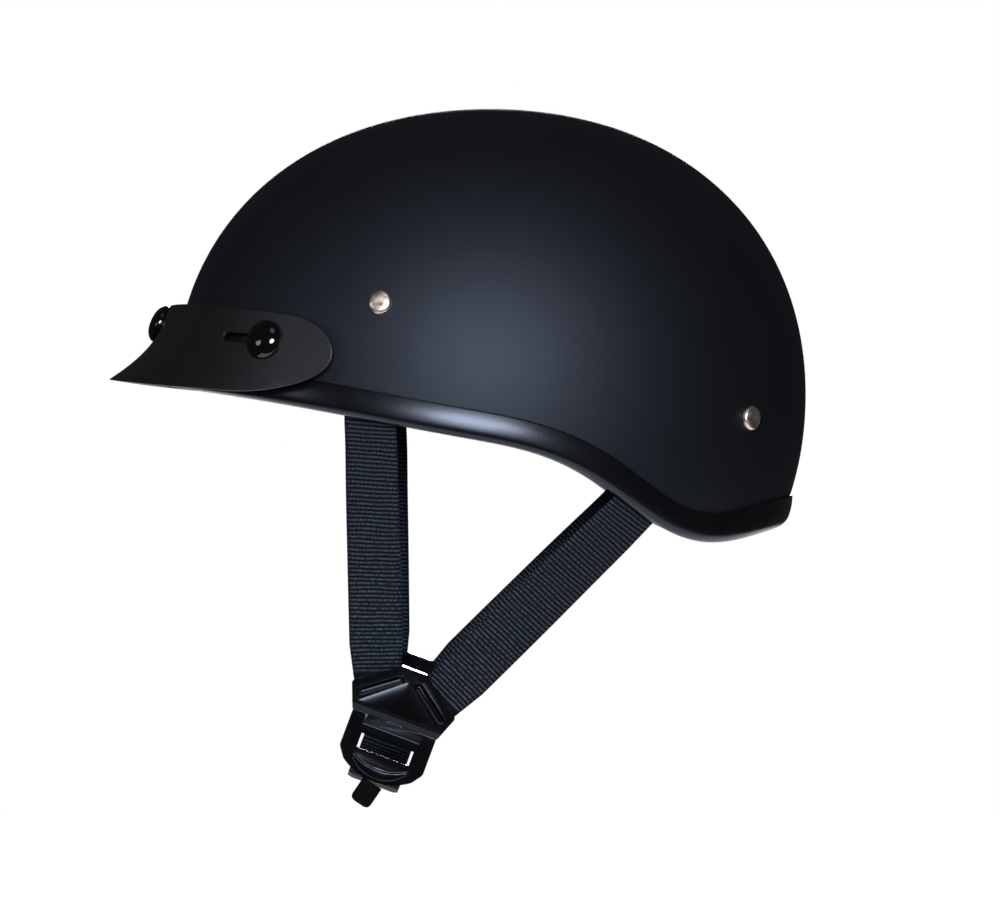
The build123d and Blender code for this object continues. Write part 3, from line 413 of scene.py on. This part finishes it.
def ease_edges(node, name, width, material, body):
    """A copy of a frame piece with its points merged, its flat faces joined and its edges rounded over."""
    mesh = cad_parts[node].data.copy()
    work = bmesh.new()
    work.from_mesh(mesh)
    bmesh.ops.remove_doubles(work, verts=work.verts, dist=CAD_DOUBLED)
    bmesh.ops.dissolve_limit(work, angle_limit=FLAT_ANGLE, verts=work.verts, edges=work.edges)
    work.to_mesh(mesh)
    work.free()
    mesh.materials.clear()
    piece = add_piece(name, mesh, material, [node], body)
    mesh.set_sharp_from_angle(angle=SHARP_ANGLE)
    bevel = piece.modifiers.new("round_over", "BEVEL")
    bevel.width, bevel.segments, bevel.limit_method = width, ROUND_STEPS, "ANGLE"
    bevel.angle_limit = SHARP_ANGLE
    bevel.harden_normals = True
    return piece


ease_edges("strap_rivets", "rivet_heads", RIVET_ROUND, plating, "helmet")

for node in STEEL_PIECES:
    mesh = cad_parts[node].data
    mesh.materials.clear()
    mesh.materials.append(plain_steel)


# Side straps: four lengths of black nylon webbing, 22 mm wide and 1.4 mm thick, with a rib across
# every 1.8 mm. Each is sewn round a bar in the yoke below, and riveted inside the shell above.

WEB_WIDTH, WEB_THICKNESS, WEB_RIB = 0.022, 0.0014, 0.0018
RIB_SEAT, RIB_RISE = 0.00018, 0.00022  # ribs start this far under the webbing's face, and rise so much
RIB_STEPS, FACE_POINTS = 6, 13  # points along each rib, and across each face
SELVEDGE, SELVEDGE_THICKNESS = 0.97, 0.35  # where the edge starts, and how thick it is, as shares
BACK_UV = 0.05  # keeps the pattern of the back face apart from the front's
YOKE_TILT = np.radians(20.5)
YOKE_PLACE = np.array([0.060, -0.038, -0.1335])
YOKE_X = np.array([0, np.cos(YOKE_TILT), -np.sin(YOKE_TILT)])
YOKE_Y = np.array([0, np.sin(YOKE_TILT), np.cos(YOKE_TILT)])
YOKE_Z = np.array([1.0, 0, 0])
SEAT_ASIDE, SEAT_UP = 0.01405, 0.0144  # middle of each shoulder of the yoke, from its own place
SHOULDER_RUN, SHOULDER_FALL = 0.0171, 0.0128  # slope of a shoulder
LOOP_RADIUS, LOOP_POINTS = 0.002, 16  # webbing's middle line round the bar
BAR_DROP = 0.0036  # centre of the bar under the shoulder
SEWN_END, LOOP_LEAD = 0.0024, 0.0006  # runs of the loop's back and front past the shoulder
YOKE_WEB_WIDTH, WIDENING = 0.0196, 0.012  # drawn in between the yoke's cheeks, and its way back to full width
STRAP_DEPTH = 0.0061  # under the shell's face
PAST_RIVET = 0.010
WALL_STOPS, ROUTE_SAMPLES = 6, 160
FREE_SHARES = np.array([0.10, 0.25, 0.5, 0.75, 0.92])[:, None]
SIDE_STRAPS = (  # name, side of the yoke, where it leaves the shell and its rivet's place, in the side view
    ("front_strap", -1, (-0.048, -0.009), (-0.0437, 0.0355)),
    ("rear_strap", 1, (0.0615, -0.045), (0.1068, -0.0105)),
)

# Ribbed nylon webbing: painted light and shade on its ribs, pale bluish dashes broken like threads,
# 0.9 by 1.8 mm, along each rib's crown as a painted sheen, and black between the ribs as painted
# shade in the grooves. Its reflections carry a painted blue tint, for a bluish light. A wave texture
# of scale 1 has a band for every pi / 10 of a metre.
webbing, tree = new_finish("ribbed_nylon_webbing")
uv = add(tree, "ShaderNodeUVMap", {"uv_map": "cloth"}).outputs["UV"]
ribs = add(tree, "ShaderNodeTexWave",
           {"Scale": 2 * np.pi / 20 / WEB_RIB, "bands_direction": "Y", "Distortion": 1.3, "Detail": 0.0,
            "Detail Scale": 0.6}, {"Vector": uv})
stretch = add(tree, "ShaderNodeMapping", {"Scale": (per_metre(0.909), per_metre(1.786), 1.0)}, {"Vector": uv})
threads = add(tree, "ShaderNodeTexNoise", {"Scale": 1.0, "Detail": 2.0, "Roughness": 0.7},
              {"Vector": stretch.outputs["Vector"]})
speck = add(tree, "ShaderNodeMapRange", {"From Min": 0.34, "From Max": 0.72},
            {"Value": threads.outputs["Fac"]})
thin = add(tree, "ShaderNodeMath", {"operation": "MULTIPLY"},
           {0: ribs.outputs["Fac"], 1: ribs.outputs["Fac"]})
# crown: where the painted sheen lies, on each rib's crown; it also raises the ribs' bump
crown = add(tree, "ShaderNodeMath", {"operation": "MULTIPLY"},
            {0: thin.outputs[0], 1: speck.outputs["Result"]})
# Painted light and shade: pale bluish crowns for the sheen, near black grooves for the shade.
tone = add(tree, "ShaderNodeMix", {"data_type": "RGBA", "A": colour("#020304"), "B": colour("#475365")},
           {"Factor": crown.outputs[0]})
dull = add(tree, "ShaderNodeMapRange", {"To Min": 0.95, "To Max": 0.46}, {"Value": ribs.outputs["Fac"]})
relief = add(tree, "ShaderNodeBump", {"Strength": 0.5, "Distance": 0.0003}, {"Height": crown.outputs[0]})
coat = add(tree, "ShaderNodeBsdfPrincipled", {"IOR": 1.33, "Specular Tint": colour("#c9dcff")},
           {"Base Color": tone.outputs[2], "Roughness": dull.outputs["Result"],
            "Normal": relief.outputs["Normal"]})
add(tree, "ShaderNodeOutputMaterial", links={"Surface": coat.outputs["BSDF"]})


def unit(vectors):
    """The same directions with length 1."""
    return vectors / np.linalg.norm(vectors, axis=-1, keepdims=True)


def length_along(points):
    """The way along a path from its start to each of its points."""
    return np.concatenate([[0], np.cumsum(np.linalg.norm(np.diff(points, axis=0), axis=1))])


def wall_place(y, z, inset):
    """Point and outward normal on the left wall of the dome, inset, seen at y and z from the side.
    The profile gives the radius at z, the rest is the ellipse across, and the normal is its gradient."""
    profile = dome_point(0.0, np.linspace(0, 2, 2 * PROFILE_SAMPLES), inset)
    narrow = (SHELL_HALF_WIDTH - inset) / (SHELL_HALF_LENGTH - inset)
    radius = np.interp(-z, -profile[:, 2], -profile[:, 1])
    slope = np.interp(-z, -profile[:, 2], np.gradient(-profile[:, 1], profile[:, 2]))
    depth = np.sqrt(radius**2 - y**2)
    point = np.stack([narrow * depth, y, z], axis=-1)
    return point, unit(np.stack([depth / narrow, y, -radius * slope], axis=-1))


def strap_route(side, exit_place, rivet):
    """Points, outward normals and widths along a left side strap: half a turn round the yoke's bar,
    then a spline straight up to the shell's edge and along the wall to past its rivet."""
    seat = YOKE_PLACE + side * SEAT_ASIDE * YOKE_X + SEAT_UP * YOKE_Y
    up = (side * SHOULDER_FALL * YOKE_X + SHOULDER_RUN * YOKE_Y) / np.hypot(SHOULDER_RUN, SHOULDER_FALL)
    bend = np.radians(np.linspace(270, 90, LOOP_POINTS))
    loop = (seat + np.outer(LOOP_RADIUS * np.cos(bend) - BAR_DROP, up)
            + np.outer(LOOP_RADIUS * (np.sin(bend) - 1), YOKE_Z))
    loop_normal = np.outer(np.cos(bend), up) + np.outer(np.sin(bend), YOKE_Z)
    end = seat + SEWN_END * up - 2 * LOOP_RADIUS * YOKE_Z
    start = seat + LOOP_LEAD * up
    exit_place, rivet = np.array(exit_place), np.array(rivet)
    way = (rivet - exit_place) / np.linalg.norm(rivet - exit_place)
    stops = np.vstack([exit_place + (rivet - exit_place) * np.linspace(0, 1, WALL_STOPS)[:, None],
                       rivet + way * PAST_RIVET])
    wall, wall_normal = wall_place(stops[:, 0], stops[:, 1], STRAP_DEPTH)
    middle = start + (wall[0] - start) * FREE_SHARES
    middle_normal = unit(YOKE_Z * (1 - FREE_SHARES) + wall_normal[0] * FREE_SHARES)
    knots = np.vstack([start, middle, wall])
    normals = np.vstack([YOKE_Z, middle_normal, wall_normal])
    at = length_along(knots)
    fine = np.linspace(0, at[-1], ROUTE_SAMPLES)
    points = np.vstack([end, loop, smooth_curve(at, knots, fine)])
    outward = np.vstack([-YOKE_Z, loop_normal, unit(smooth_curve(at, normals, fine))])
    width = np.concatenate([np.full(LOOP_POINTS + 1, YOKE_WEB_WIDTH),
                            np.interp(fine, [0, WIDENING], [YOKE_WEB_WIDTH, WEB_WIDTH])])
    return points, outward, width


def make_webbing(name, points, outward, width, thickness, material, nodes, body, slot, flip=False):
    """A band carried along a route: its section is a flat oblong with thin edges, and its two faces
    rise by |sin| of the length along it, once for each rib. It has a UV map in metres."""
    at = length_along(points)
    fine = np.linspace(0, at[-1], int(at[-1] / WEB_RIB * RIB_STEPS))
    centre = np.stack([np.interp(fine, at, points[:, k]) for k in range(3)], axis=1)
    normal = unit(np.stack([np.interp(fine, at, outward[:, k]) for k in range(3)], axis=1))
    half = np.interp(fine, at, width) / 2
    along = unit(np.gradient(centre, axis=0))
    side = unit(np.cross(along, normal))
    normal = np.cross(side, along)
    u = np.concatenate([np.linspace(-1, 1, FACE_POINTS), np.linspace(1, -1, FACE_POINTS)])
    face = np.concatenate([np.ones(FACE_POINTS), -np.ones(FACE_POINTS)])
    rib = RIB_RISE * np.abs(np.sin(np.pi * fine / WEB_RIB))[:, None] * (np.abs(u) < SELVEDGE)
    edge = np.where(np.abs(u) > SELVEDGE, SELVEDGE_THICKNESS, 1.0)
    height = (thickness / 2 - RIB_SEAT) * edge * face + rib * face
    across = half[:, None] * u
    band = centre[:, None, :] + across[..., None] * side[:, None, :] + height[..., None] * normal[:, None, :]
    if flip:
        band = band * np.array([-1, 1, 1])
    rows, columns = band.shape[:2]
    k = np.arange(FACE_POINTS - 1)
    cap = np.stack([k, k + 1, columns - 2 - k, columns - 1 - k], axis=1)
    faces = np.concatenate([lattice_faces(rows, columns, close_columns=True),
                            cap, cap[:, ::-1] + (rows - 1) * columns])
    mesh = bpy.data.meshes.new(name)
    mesh.from_pydata(band.reshape(-1, 3), [], faces)
    index = np.empty(len(mesh.loops), dtype=np.int32)
    mesh.loops.foreach_get("vertex_index", index)
    spread = np.stack([(across + np.where(face > 0, 0, BACK_UV)).ravel(), np.repeat(fine, columns)], axis=1)
    mesh.uv_layers.new(name="cloth").data.foreach_set("uv", spread[index].ravel())
    turn_outwards(mesh)
    return add_piece(name, mesh, material, nodes, body)


for name, side, exit_place, rivet in SIDE_STRAPS:
    route = strap_route(side, exit_place, rivet)
    for hand, flip in (("left", False), ("right", True)):
        make_webbing(f"{name}_webbing_{hand}", *route, WEB_THICKNESS, webbing, [f"{name}_{hand}"],
                     "helmet", "webbing", flip)


# Buckle and yokes: moulded in black acetal. A yoke hangs in each pair of side straps; the left one
# takes the plug in its mouth and has the release button in its face, the right one a hinge bar.

BUCKLE_ROUND = 0.0004
BUCKLE_PIECES = (  # node, piece and body
    ("buckle_housing", "housing_moulding", "helmet"),
    ("housing_back_plate", "housing_cover", "helmet"),
    ("release_button", "button_moulding", "button"),
    ("buckle_plug", "plug_moulding", "chin_set"),
    ("right_yoke", "right_yoke_moulding", "helmet"),
    ("yoke_back_plate", "right_yoke_cover", "helmet"),
)

# Moulded acetal: glossy and nearly black, uneven where it flowed in the mould, with rubbed marks of
# less than 1 mm that only just stir its reflections.
acetal, tree = new_finish("moulded_acetal")
place = add(tree, "ShaderNodeTexCoord").outputs["Object"]
flow = add(tree, "ShaderNodeTexNoise", {"Scale": per_metre(11.1), "Detail": 3.0}, {"Vector": place})
rub = add(tree, "ShaderNodeTexNoise", {"Scale": per_metre(0.77), "Detail": 2.0}, {"Vector": place})
tone = add(tree, "ShaderNodeMix", {"data_type": "RGBA", "A": colour("#050506"), "B": colour("#09090b")},
           {"Factor": flow.outputs["Fac"]})
dull = add(tree, "ShaderNodeMapRange", {"To Min": 0.09, "To Max": 0.15}, {"Value": flow.outputs["Fac"]})
relief = add(tree, "ShaderNodeBump", {"Strength": 0.02, "Distance": 0.0002}, {"Height": rub.outputs["Fac"]})
# Painted light: the acetal's reflections are tinted blue, for a bluish light.
coat = add(tree, "ShaderNodeBsdfPrincipled",
           {"IOR": 1.48, "Specular IOR Level": 0.3, "Specular Tint": colour("#d3e2ff")},
           {"Base Color": tone.outputs[2], "Roughness": dull.outputs["Result"],
            "Normal": relief.outputs["Normal"]})
add(tree, "ShaderNodeOutputMaterial", links={"Surface": coat.outputs["BSDF"]})

for node, name, body in BUCKLE_PIECES:
    ease_edges(node, name, BUCKLE_ROUND, acetal, body)


# Chin strap: one length of the same webbing, looped round the plug's bar, under the chin, and round
# the right yoke's hinge bar. Its folded end hangs below the plug, melted stiff so it can't fray, and
# its black is painted shade from the plug.

CHIN_ROUTE = np.array([  # across and up, in the plane of the yokes
    [0.0587, -0.0275], [0.0587, -0.0189], [0.0545, -0.0189], [0.0545, -0.0275], [0.030, -0.0315],
    [-0.030, -0.0315], [-0.0580, -0.0260], [-0.0580, -0.0050], [-0.0620, -0.0050], [-0.0620, -0.0170],
])
CHIN_RADII = [0.00208, 0.00208, 0.007, 0.060, 0.060, 0.009, 0.00198, 0.00198]
ARC_POINTS = 14
END_TILT = np.radians(14)
END_DROP, END_BACK = 0.0289, 0.0014
END_RUN = np.array([0, 0.004, 0.008, 0.0092, 0.0098, 0.0100])[:, None]
END_WIDTH = np.array([0.009, 0.009, 0.009, 0.0082, 0.0066, 0.005])
END_THICKNESS = 0.0026


def round_corners(points, radii):
    """A path of straight runs with an arc in each corner: the arc starts and ends at the tangent
    length, radius over the tangent of half the corner's angle, either side of the corner."""
    path = [points[:1]]
    for before, corner, after, radius in zip(points, points[1:], points[2:], radii):
        a, b = unit(before - corner), unit(after - corner)
        half = np.arccos(np.clip(a @ b, -1, 1)) / 2
        middle = corner + unit(a + b) * radius / np.sin(half)
        start, end = corner + a * radius / np.tan(half) - middle, corner + b * radius / np.tan(half) - middle
        swing = np.pi - 2 * half
        t = np.linspace(0, 1, ARC_POINTS)[:, None]
        path.append(middle + (np.sin((1 - t) * swing) * start + np.sin(t * swing) * end) / np.sin(swing))
    path.append(points[-1:])
    return np.vstack(path)


path = round_corners(CHIN_ROUTE, CHIN_RADII)
points = path[:, :1] * np.array([1, 0, 0]) + YOKE_PLACE * np.array([0, 1, 1]) + path[:, 1:] * YOKE_Y
outward = np.cross(unit(np.gradient(points, axis=0)), YOKE_X)
make_webbing("chin_webbing", points, outward, np.full(len(points), WEB_WIDTH), WEB_THICKNESS, webbing,
             ["chin_strap"], "chin_set", "webbing")

# Nylon of the folded end: smooth and dull black, a painted shade for the shadow the plug casts on it.
shaded_end_nylon, tree = new_finish("painted_shade_end_nylon")
place = add(tree, "ShaderNodeTexCoord").outputs["Object"]
mottle = add(tree, "ShaderNodeTexNoise", {"Scale": per_metre(2.0), "Detail": 2.0}, {"Vector": place})
# Painted shade: both tones are near black, for the shadow under the plug.
tone = add(tree, "ShaderNodeMix", {"data_type": "RGBA", "A": colour("#030304"), "B": colour("#0a0b0d")},
           {"Factor": mottle.outputs["Fac"]})
relief = add(tree, "ShaderNodeBump", {"Strength": 0.3, "Distance": 0.0003}, {"Height": mottle.outputs["Fac"]})
coat = add(tree, "ShaderNodeBsdfPrincipled", {"IOR": 1.4, "Roughness": 0.8, "Specular IOR Level": 0.08},
           {"Base Color": tone.outputs[2], "Normal": relief.outputs["Normal"]})
add(tree, "ShaderNodeOutputMaterial", links={"Surface": coat.outputs["BSDF"]})

end_way = YOKE_Y * -np.cos(END_TILT) - YOKE_X * np.sin(END_TILT)
end_start = YOKE_PLACE - END_DROP * YOKE_Y - END_BACK * YOKE_Z
make_webbing("strap_end_fold", end_start + END_RUN * end_way, np.tile(YOKE_Z, (len(END_RUN), 1)),
             END_WIDTH, END_THICKNESS, shaded_end_nylon, ["strap_tail"], "chin_set", "webbing")


# Visor: a thin blade moulded in matte black ABS. It wraps the brow, stands off the shell on its
# snaps and flares to a lip in front. Slots at its sides let it be set to the shell.

VISOR_ROUND = 0.0007

# Moulded matte ABS: an etched grain, drawn 0.7 mm wide so that it shows, and a warm black that turns
# grey where the light meets it.
visor_abs, tree = new_finish("moulded_matte_abs")
place = add(tree, "ShaderNodeTexCoord").outputs["Object"]
grain = add(tree, "ShaderNodeTexNoise", {"Scale": per_metre(0.667), "Detail": 3.0}, {"Vector": place})
drift = add(tree, "ShaderNodeTexNoise", {"Scale": per_metre(33.3), "Detail": 2.0}, {"Vector": place})
tone = add(tree, "ShaderNodeMix", {"data_type": "RGBA", "A": colour("#0a0908"), "B": colour("#110f0e")},
           {"Factor": drift.outputs["Fac"]})
dull = add(tree, "ShaderNodeMapRange", {"To Min": 0.40, "To Max": 0.48}, {"Value": drift.outputs["Fac"]})
relief = add(tree, "ShaderNodeBump", {"Strength": 0.12, "Distance": 0.0002}, {"Height": grain.outputs["Fac"]})
# Painted light: the visor's reflections are tinted blue, for a bluish light.
coat = add(tree, "ShaderNodeBsdfPrincipled",
           {"IOR": 1.5, "Specular IOR Level": 0.7, "Specular Tint": colour("#e2ebff")},
           {"Base Color": tone.outputs[2], "Roughness": dull.outputs["Result"],
            "Normal": relief.outputs["Normal"]})
add(tree, "ShaderNodeOutputMaterial", links={"Surface": coat.outputs["BSDF"]})

blade = ease_edges("visor", "visor_moulding", VISOR_ROUND, visor_abs, "visor_set")
blade.modifiers["round_over"].use_clamp_overlap = False  # its shortest edge would hold back all the rest


# Snap caps: three glossy domes of black enamelled brass, 16.4 mm across, each with its socket behind.
# Their rims press a little into the visor, and their posts go through it.

CAP_SECTION = np.array([  # radius and height above the rim, from the dome's top to the post's end
    [0.0, 0.0046], [0.0020, 0.0045], [0.0040, 0.00415], [0.0058, 0.0034], [0.0071, 0.0024],
    [0.0079, 0.0014], [0.0082, 0.0005], [0.0081, -0.0004], [0.0076, -0.0008], [0.0050, -0.0008],
    [0.0019, -0.0008], [0.0017, -0.0011], [0.0017, -0.0030], [0.0, -0.0030],
])
CAP_ROWS, CAP_COLUMNS = 66, 64
CAP_SPANS = ((0.03, 0.20), (-0.03, 0.03), (-0.20, -0.03))  # the left, front and right cap, by their x
SAME_WAY = 0.9999  # faces whose normals' product is more than this are one flat

# Glossy enamel: small sharp lights, a little wavy from the orange peel of the paint, 2 mm wide.
enamel, tree = new_finish("glossy_black_enamel")
place = add(tree, "ShaderNodeTexCoord").outputs["Object"]
orange_peel = add(tree, "ShaderNodeTexNoise", {"Scale": per_metre(2.0), "Detail": 2.0}, {"Vector": place})
tone = add(tree, "ShaderNodeMix", {"data_type": "RGBA", "A": colour("#050506"), "B": colour("#070708")},
           {"Factor": orange_peel.outputs["Fac"]})
dull = add(tree, "ShaderNodeMapRange", {"To Min": 0.05, "To Max": 0.10},
           {"Value": orange_peel.outputs["Fac"]})
relief = add(tree, "ShaderNodeBump", {"Strength": 0.03, "Distance": 0.0002},
             {"Height": orange_peel.outputs["Fac"]})
coat = add(tree, "ShaderNodeBsdfPrincipled", {"IOR": 1.55},
           {"Base Color": tone.outputs[2], "Roughness": dull.outputs["Result"],
            "Normal": relief.outputs["Normal"]})
add(tree, "ShaderNodeOutputMaterial", links={"Surface": coat.outputs["BSDF"]})


def read(items, field, width):
    """One field of all of a mesh's points or faces, as an array with a row for each."""
    values = np.empty(len(items) * width, dtype=np.float32)
    items.foreach_get(field, values)
    return values.astype(float).reshape(-1, width)


# Each cap is its section turned about its axis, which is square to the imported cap's largest flat,
# its underside.
knots = np.arange(len(CAP_SECTION) * 1.0)
section = smooth_curve(knots, CAP_SECTION, np.linspace(0, knots[-1], CAP_ROWS))
spin = np.linspace(0, 2 * np.pi, CAP_COLUMNS, endpoint=False)[None, :, None]
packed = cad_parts["snap_caps"].data
corners = read(packed.vertices, "co", 3)
places, normals = read(packed.polygons, "center", 3), read(packed.polygons, "normal", 3)
areas = read(packed.polygons, "area", 1)[:, 0]
rows, faces = [], []
for low, high in CAP_SPANS:
    near = (places[:, 0] > low) & (places[:, 0] < high)
    alike = (normals[near] @ normals[near].T > SAME_WAY) @ areas[near]
    axis = -normals[near][np.argmax(alike)]
    across = unit(np.cross(axis, [0, 0, 1.0]))
    basis = np.stack([across, np.cross(axis, across), axis])
    spread = corners[(corners[:, 0] > low) & (corners[:, 0] < high)] @ basis.T
    middle = (spread.min(axis=0) + spread.max(axis=0)) / 2
    middle[2] = spread[:, 2].max() - CAP_SECTION[0, 1]
    ring = np.cos(spin) * basis[0] + np.sin(spin) * basis[1]
    faces.append(lattice_faces(CAP_ROWS, CAP_COLUMNS, close_columns=True)
                 + CAP_ROWS * CAP_COLUMNS * len(rows))
    rows.append(middle @ basis + section[:, None, :1] * ring + section[:, None, 1:] * axis)
make_piece("snap_cap_domes", np.stack(rows), np.concatenate(faces), enamel, ["snap_caps"],
           "visor_set")


# Studio: a small pale floor under the helmet, in front of a world that is white to the camera.
# The lamps are plain, oval and soft. The camera looks at the wearer's left side.

FLOOR_LEVEL = -0.275  # under the chin strap, also when that hangs down from its hinge
FLOOR_X, FLOOR_Y = (-1.1, 0.30), (-0.38, 0.36)
FLOOR_GLOW = 0.62  # with its own shade under the lamps, this makes it white
WORLD_LEVEL = 0.035
LAMPS = (  # name, place, width, height and power
    ("near_softbox", (1.75, -0.03, 0.32), 0.90, 0.60, 32),
    ("far_softbox", (-1.75, 0.0, 0.25), 0.5, 0.5, 26),
    ("top_softbox", (0.95, 0.0, 1.4), 0.8, 0.8, 1.4),
    ("front_softbox", (0.75, -1.5, 0.35), 0.4, 0.4, 1.4),
)
CAMERA_PLACE = (1.8, 0.0043, -0.0236)
CAMERA_LENS, CAMERA_SENSOR = 152.5, 36.0

# The floor glows only for rays that show it, and stays plain diffuse for the light it gives off.
pale, tree = new_finish("pale_studio")
rays = add(tree, "ShaderNodeLightPath")
seen = add(tree, "ShaderNodeMath", {"operation": "MAXIMUM"},
           {0: rays.outputs["Is Camera Ray"], 1: rays.outputs["Is Glossy Ray"]})
seen = add(tree, "ShaderNodeMath", {"operation": "MAXIMUM"},
           {0: seen.outputs[0], 1: rays.outputs["Is Transmission Ray"]})
lift = add(tree, "ShaderNodeMapRange", {"To Max": FLOOR_GLOW}, {"Value": seen.outputs[0]})
white = add(tree, "ShaderNodeEmission", {"Color": (1, 1, 1, 1)}, {"Strength": lift.outputs["Result"]})
matte = add(tree, "ShaderNodeBsdfDiffuse", {"Color": colour("#f4f4f4")})
both = add(tree, "ShaderNodeAddShader", {}, {0: matte.outputs[0], 1: white.outputs[0]})
add(tree, "ShaderNodeOutputMaterial", links={"Surface": both.outputs[0]})

mesh = bpy.data.meshes.new("studio_floor")
mesh.from_pydata([(FLOOR_X[0], FLOOR_Y[0], FLOOR_LEVEL), (FLOOR_X[1], FLOOR_Y[0], FLOOR_LEVEL),
                  (FLOOR_X[1], FLOOR_Y[1], FLOOR_LEVEL), (FLOOR_X[0], FLOOR_Y[1], FLOOR_LEVEL)],
                 [], [(0, 1, 2, 3)])
mesh.materials.append(pale)
floor = bpy.data.objects.new("studio_floor", mesh)
bpy.context.scene.collection.objects.link(floor)

world = bpy.data.worlds.new("studio_light")
bpy.context.scene.world = world
world.use_nodes = True
tree = world.node_tree
tree.nodes.clear()
soft = add(tree, "ShaderNodeBackground", {"Color": (1, 1, 1, 1), "Strength": WORLD_LEVEL})
white = add(tree, "ShaderNodeBackground", {"Color": (1, 1, 1, 1), "Strength": 1.0})
rays = add(tree, "ShaderNodeLightPath")
seen = add(tree, "ShaderNodeMath", {"operation": "MAXIMUM"},
           {0: rays.outputs["Is Camera Ray"], 1: rays.outputs["Is Transmission Ray"]})
mix = add(tree, "ShaderNodeMixShader", {}, {0: seen.outputs[0], 1: soft.outputs[0], 2: white.outputs[0]})
add(tree, "ShaderNodeOutputWorld", links={"Surface": mix.outputs[0]})

for name, place, width, height, power in LAMPS:
    lamp = bpy.data.lights.new(name, "AREA")
    lamp.shape, lamp.size, lamp.size_y, lamp.energy = "ELLIPSE", width, height, power
    holder = bpy.data.objects.new(name, lamp)
    bpy.context.scene.collection.objects.link(holder)
    holder.location = place
    holder.rotation_mode = "QUATERNION"
    holder.rotation_quaternion = (-Vector(place)).to_track_quat("-Z", "Y")  # turned to the helmet

camera = bpy.data.cameras.new("camera")
camera.lens, camera.sensor_width = CAMERA_LENS, CAMERA_SENSOR
viewpoint = bpy.data.objects.new("camera", camera)
bpy.context.scene.collection.objects.link(viewpoint)
viewpoint.location = CAMERA_PLACE
viewpoint.rotation_euler = (np.pi / 2, 0, np.pi / 2)
bpy.context.scene.camera = viewpoint
bpy.context.scene.view_settings.view_transform = "Standard"
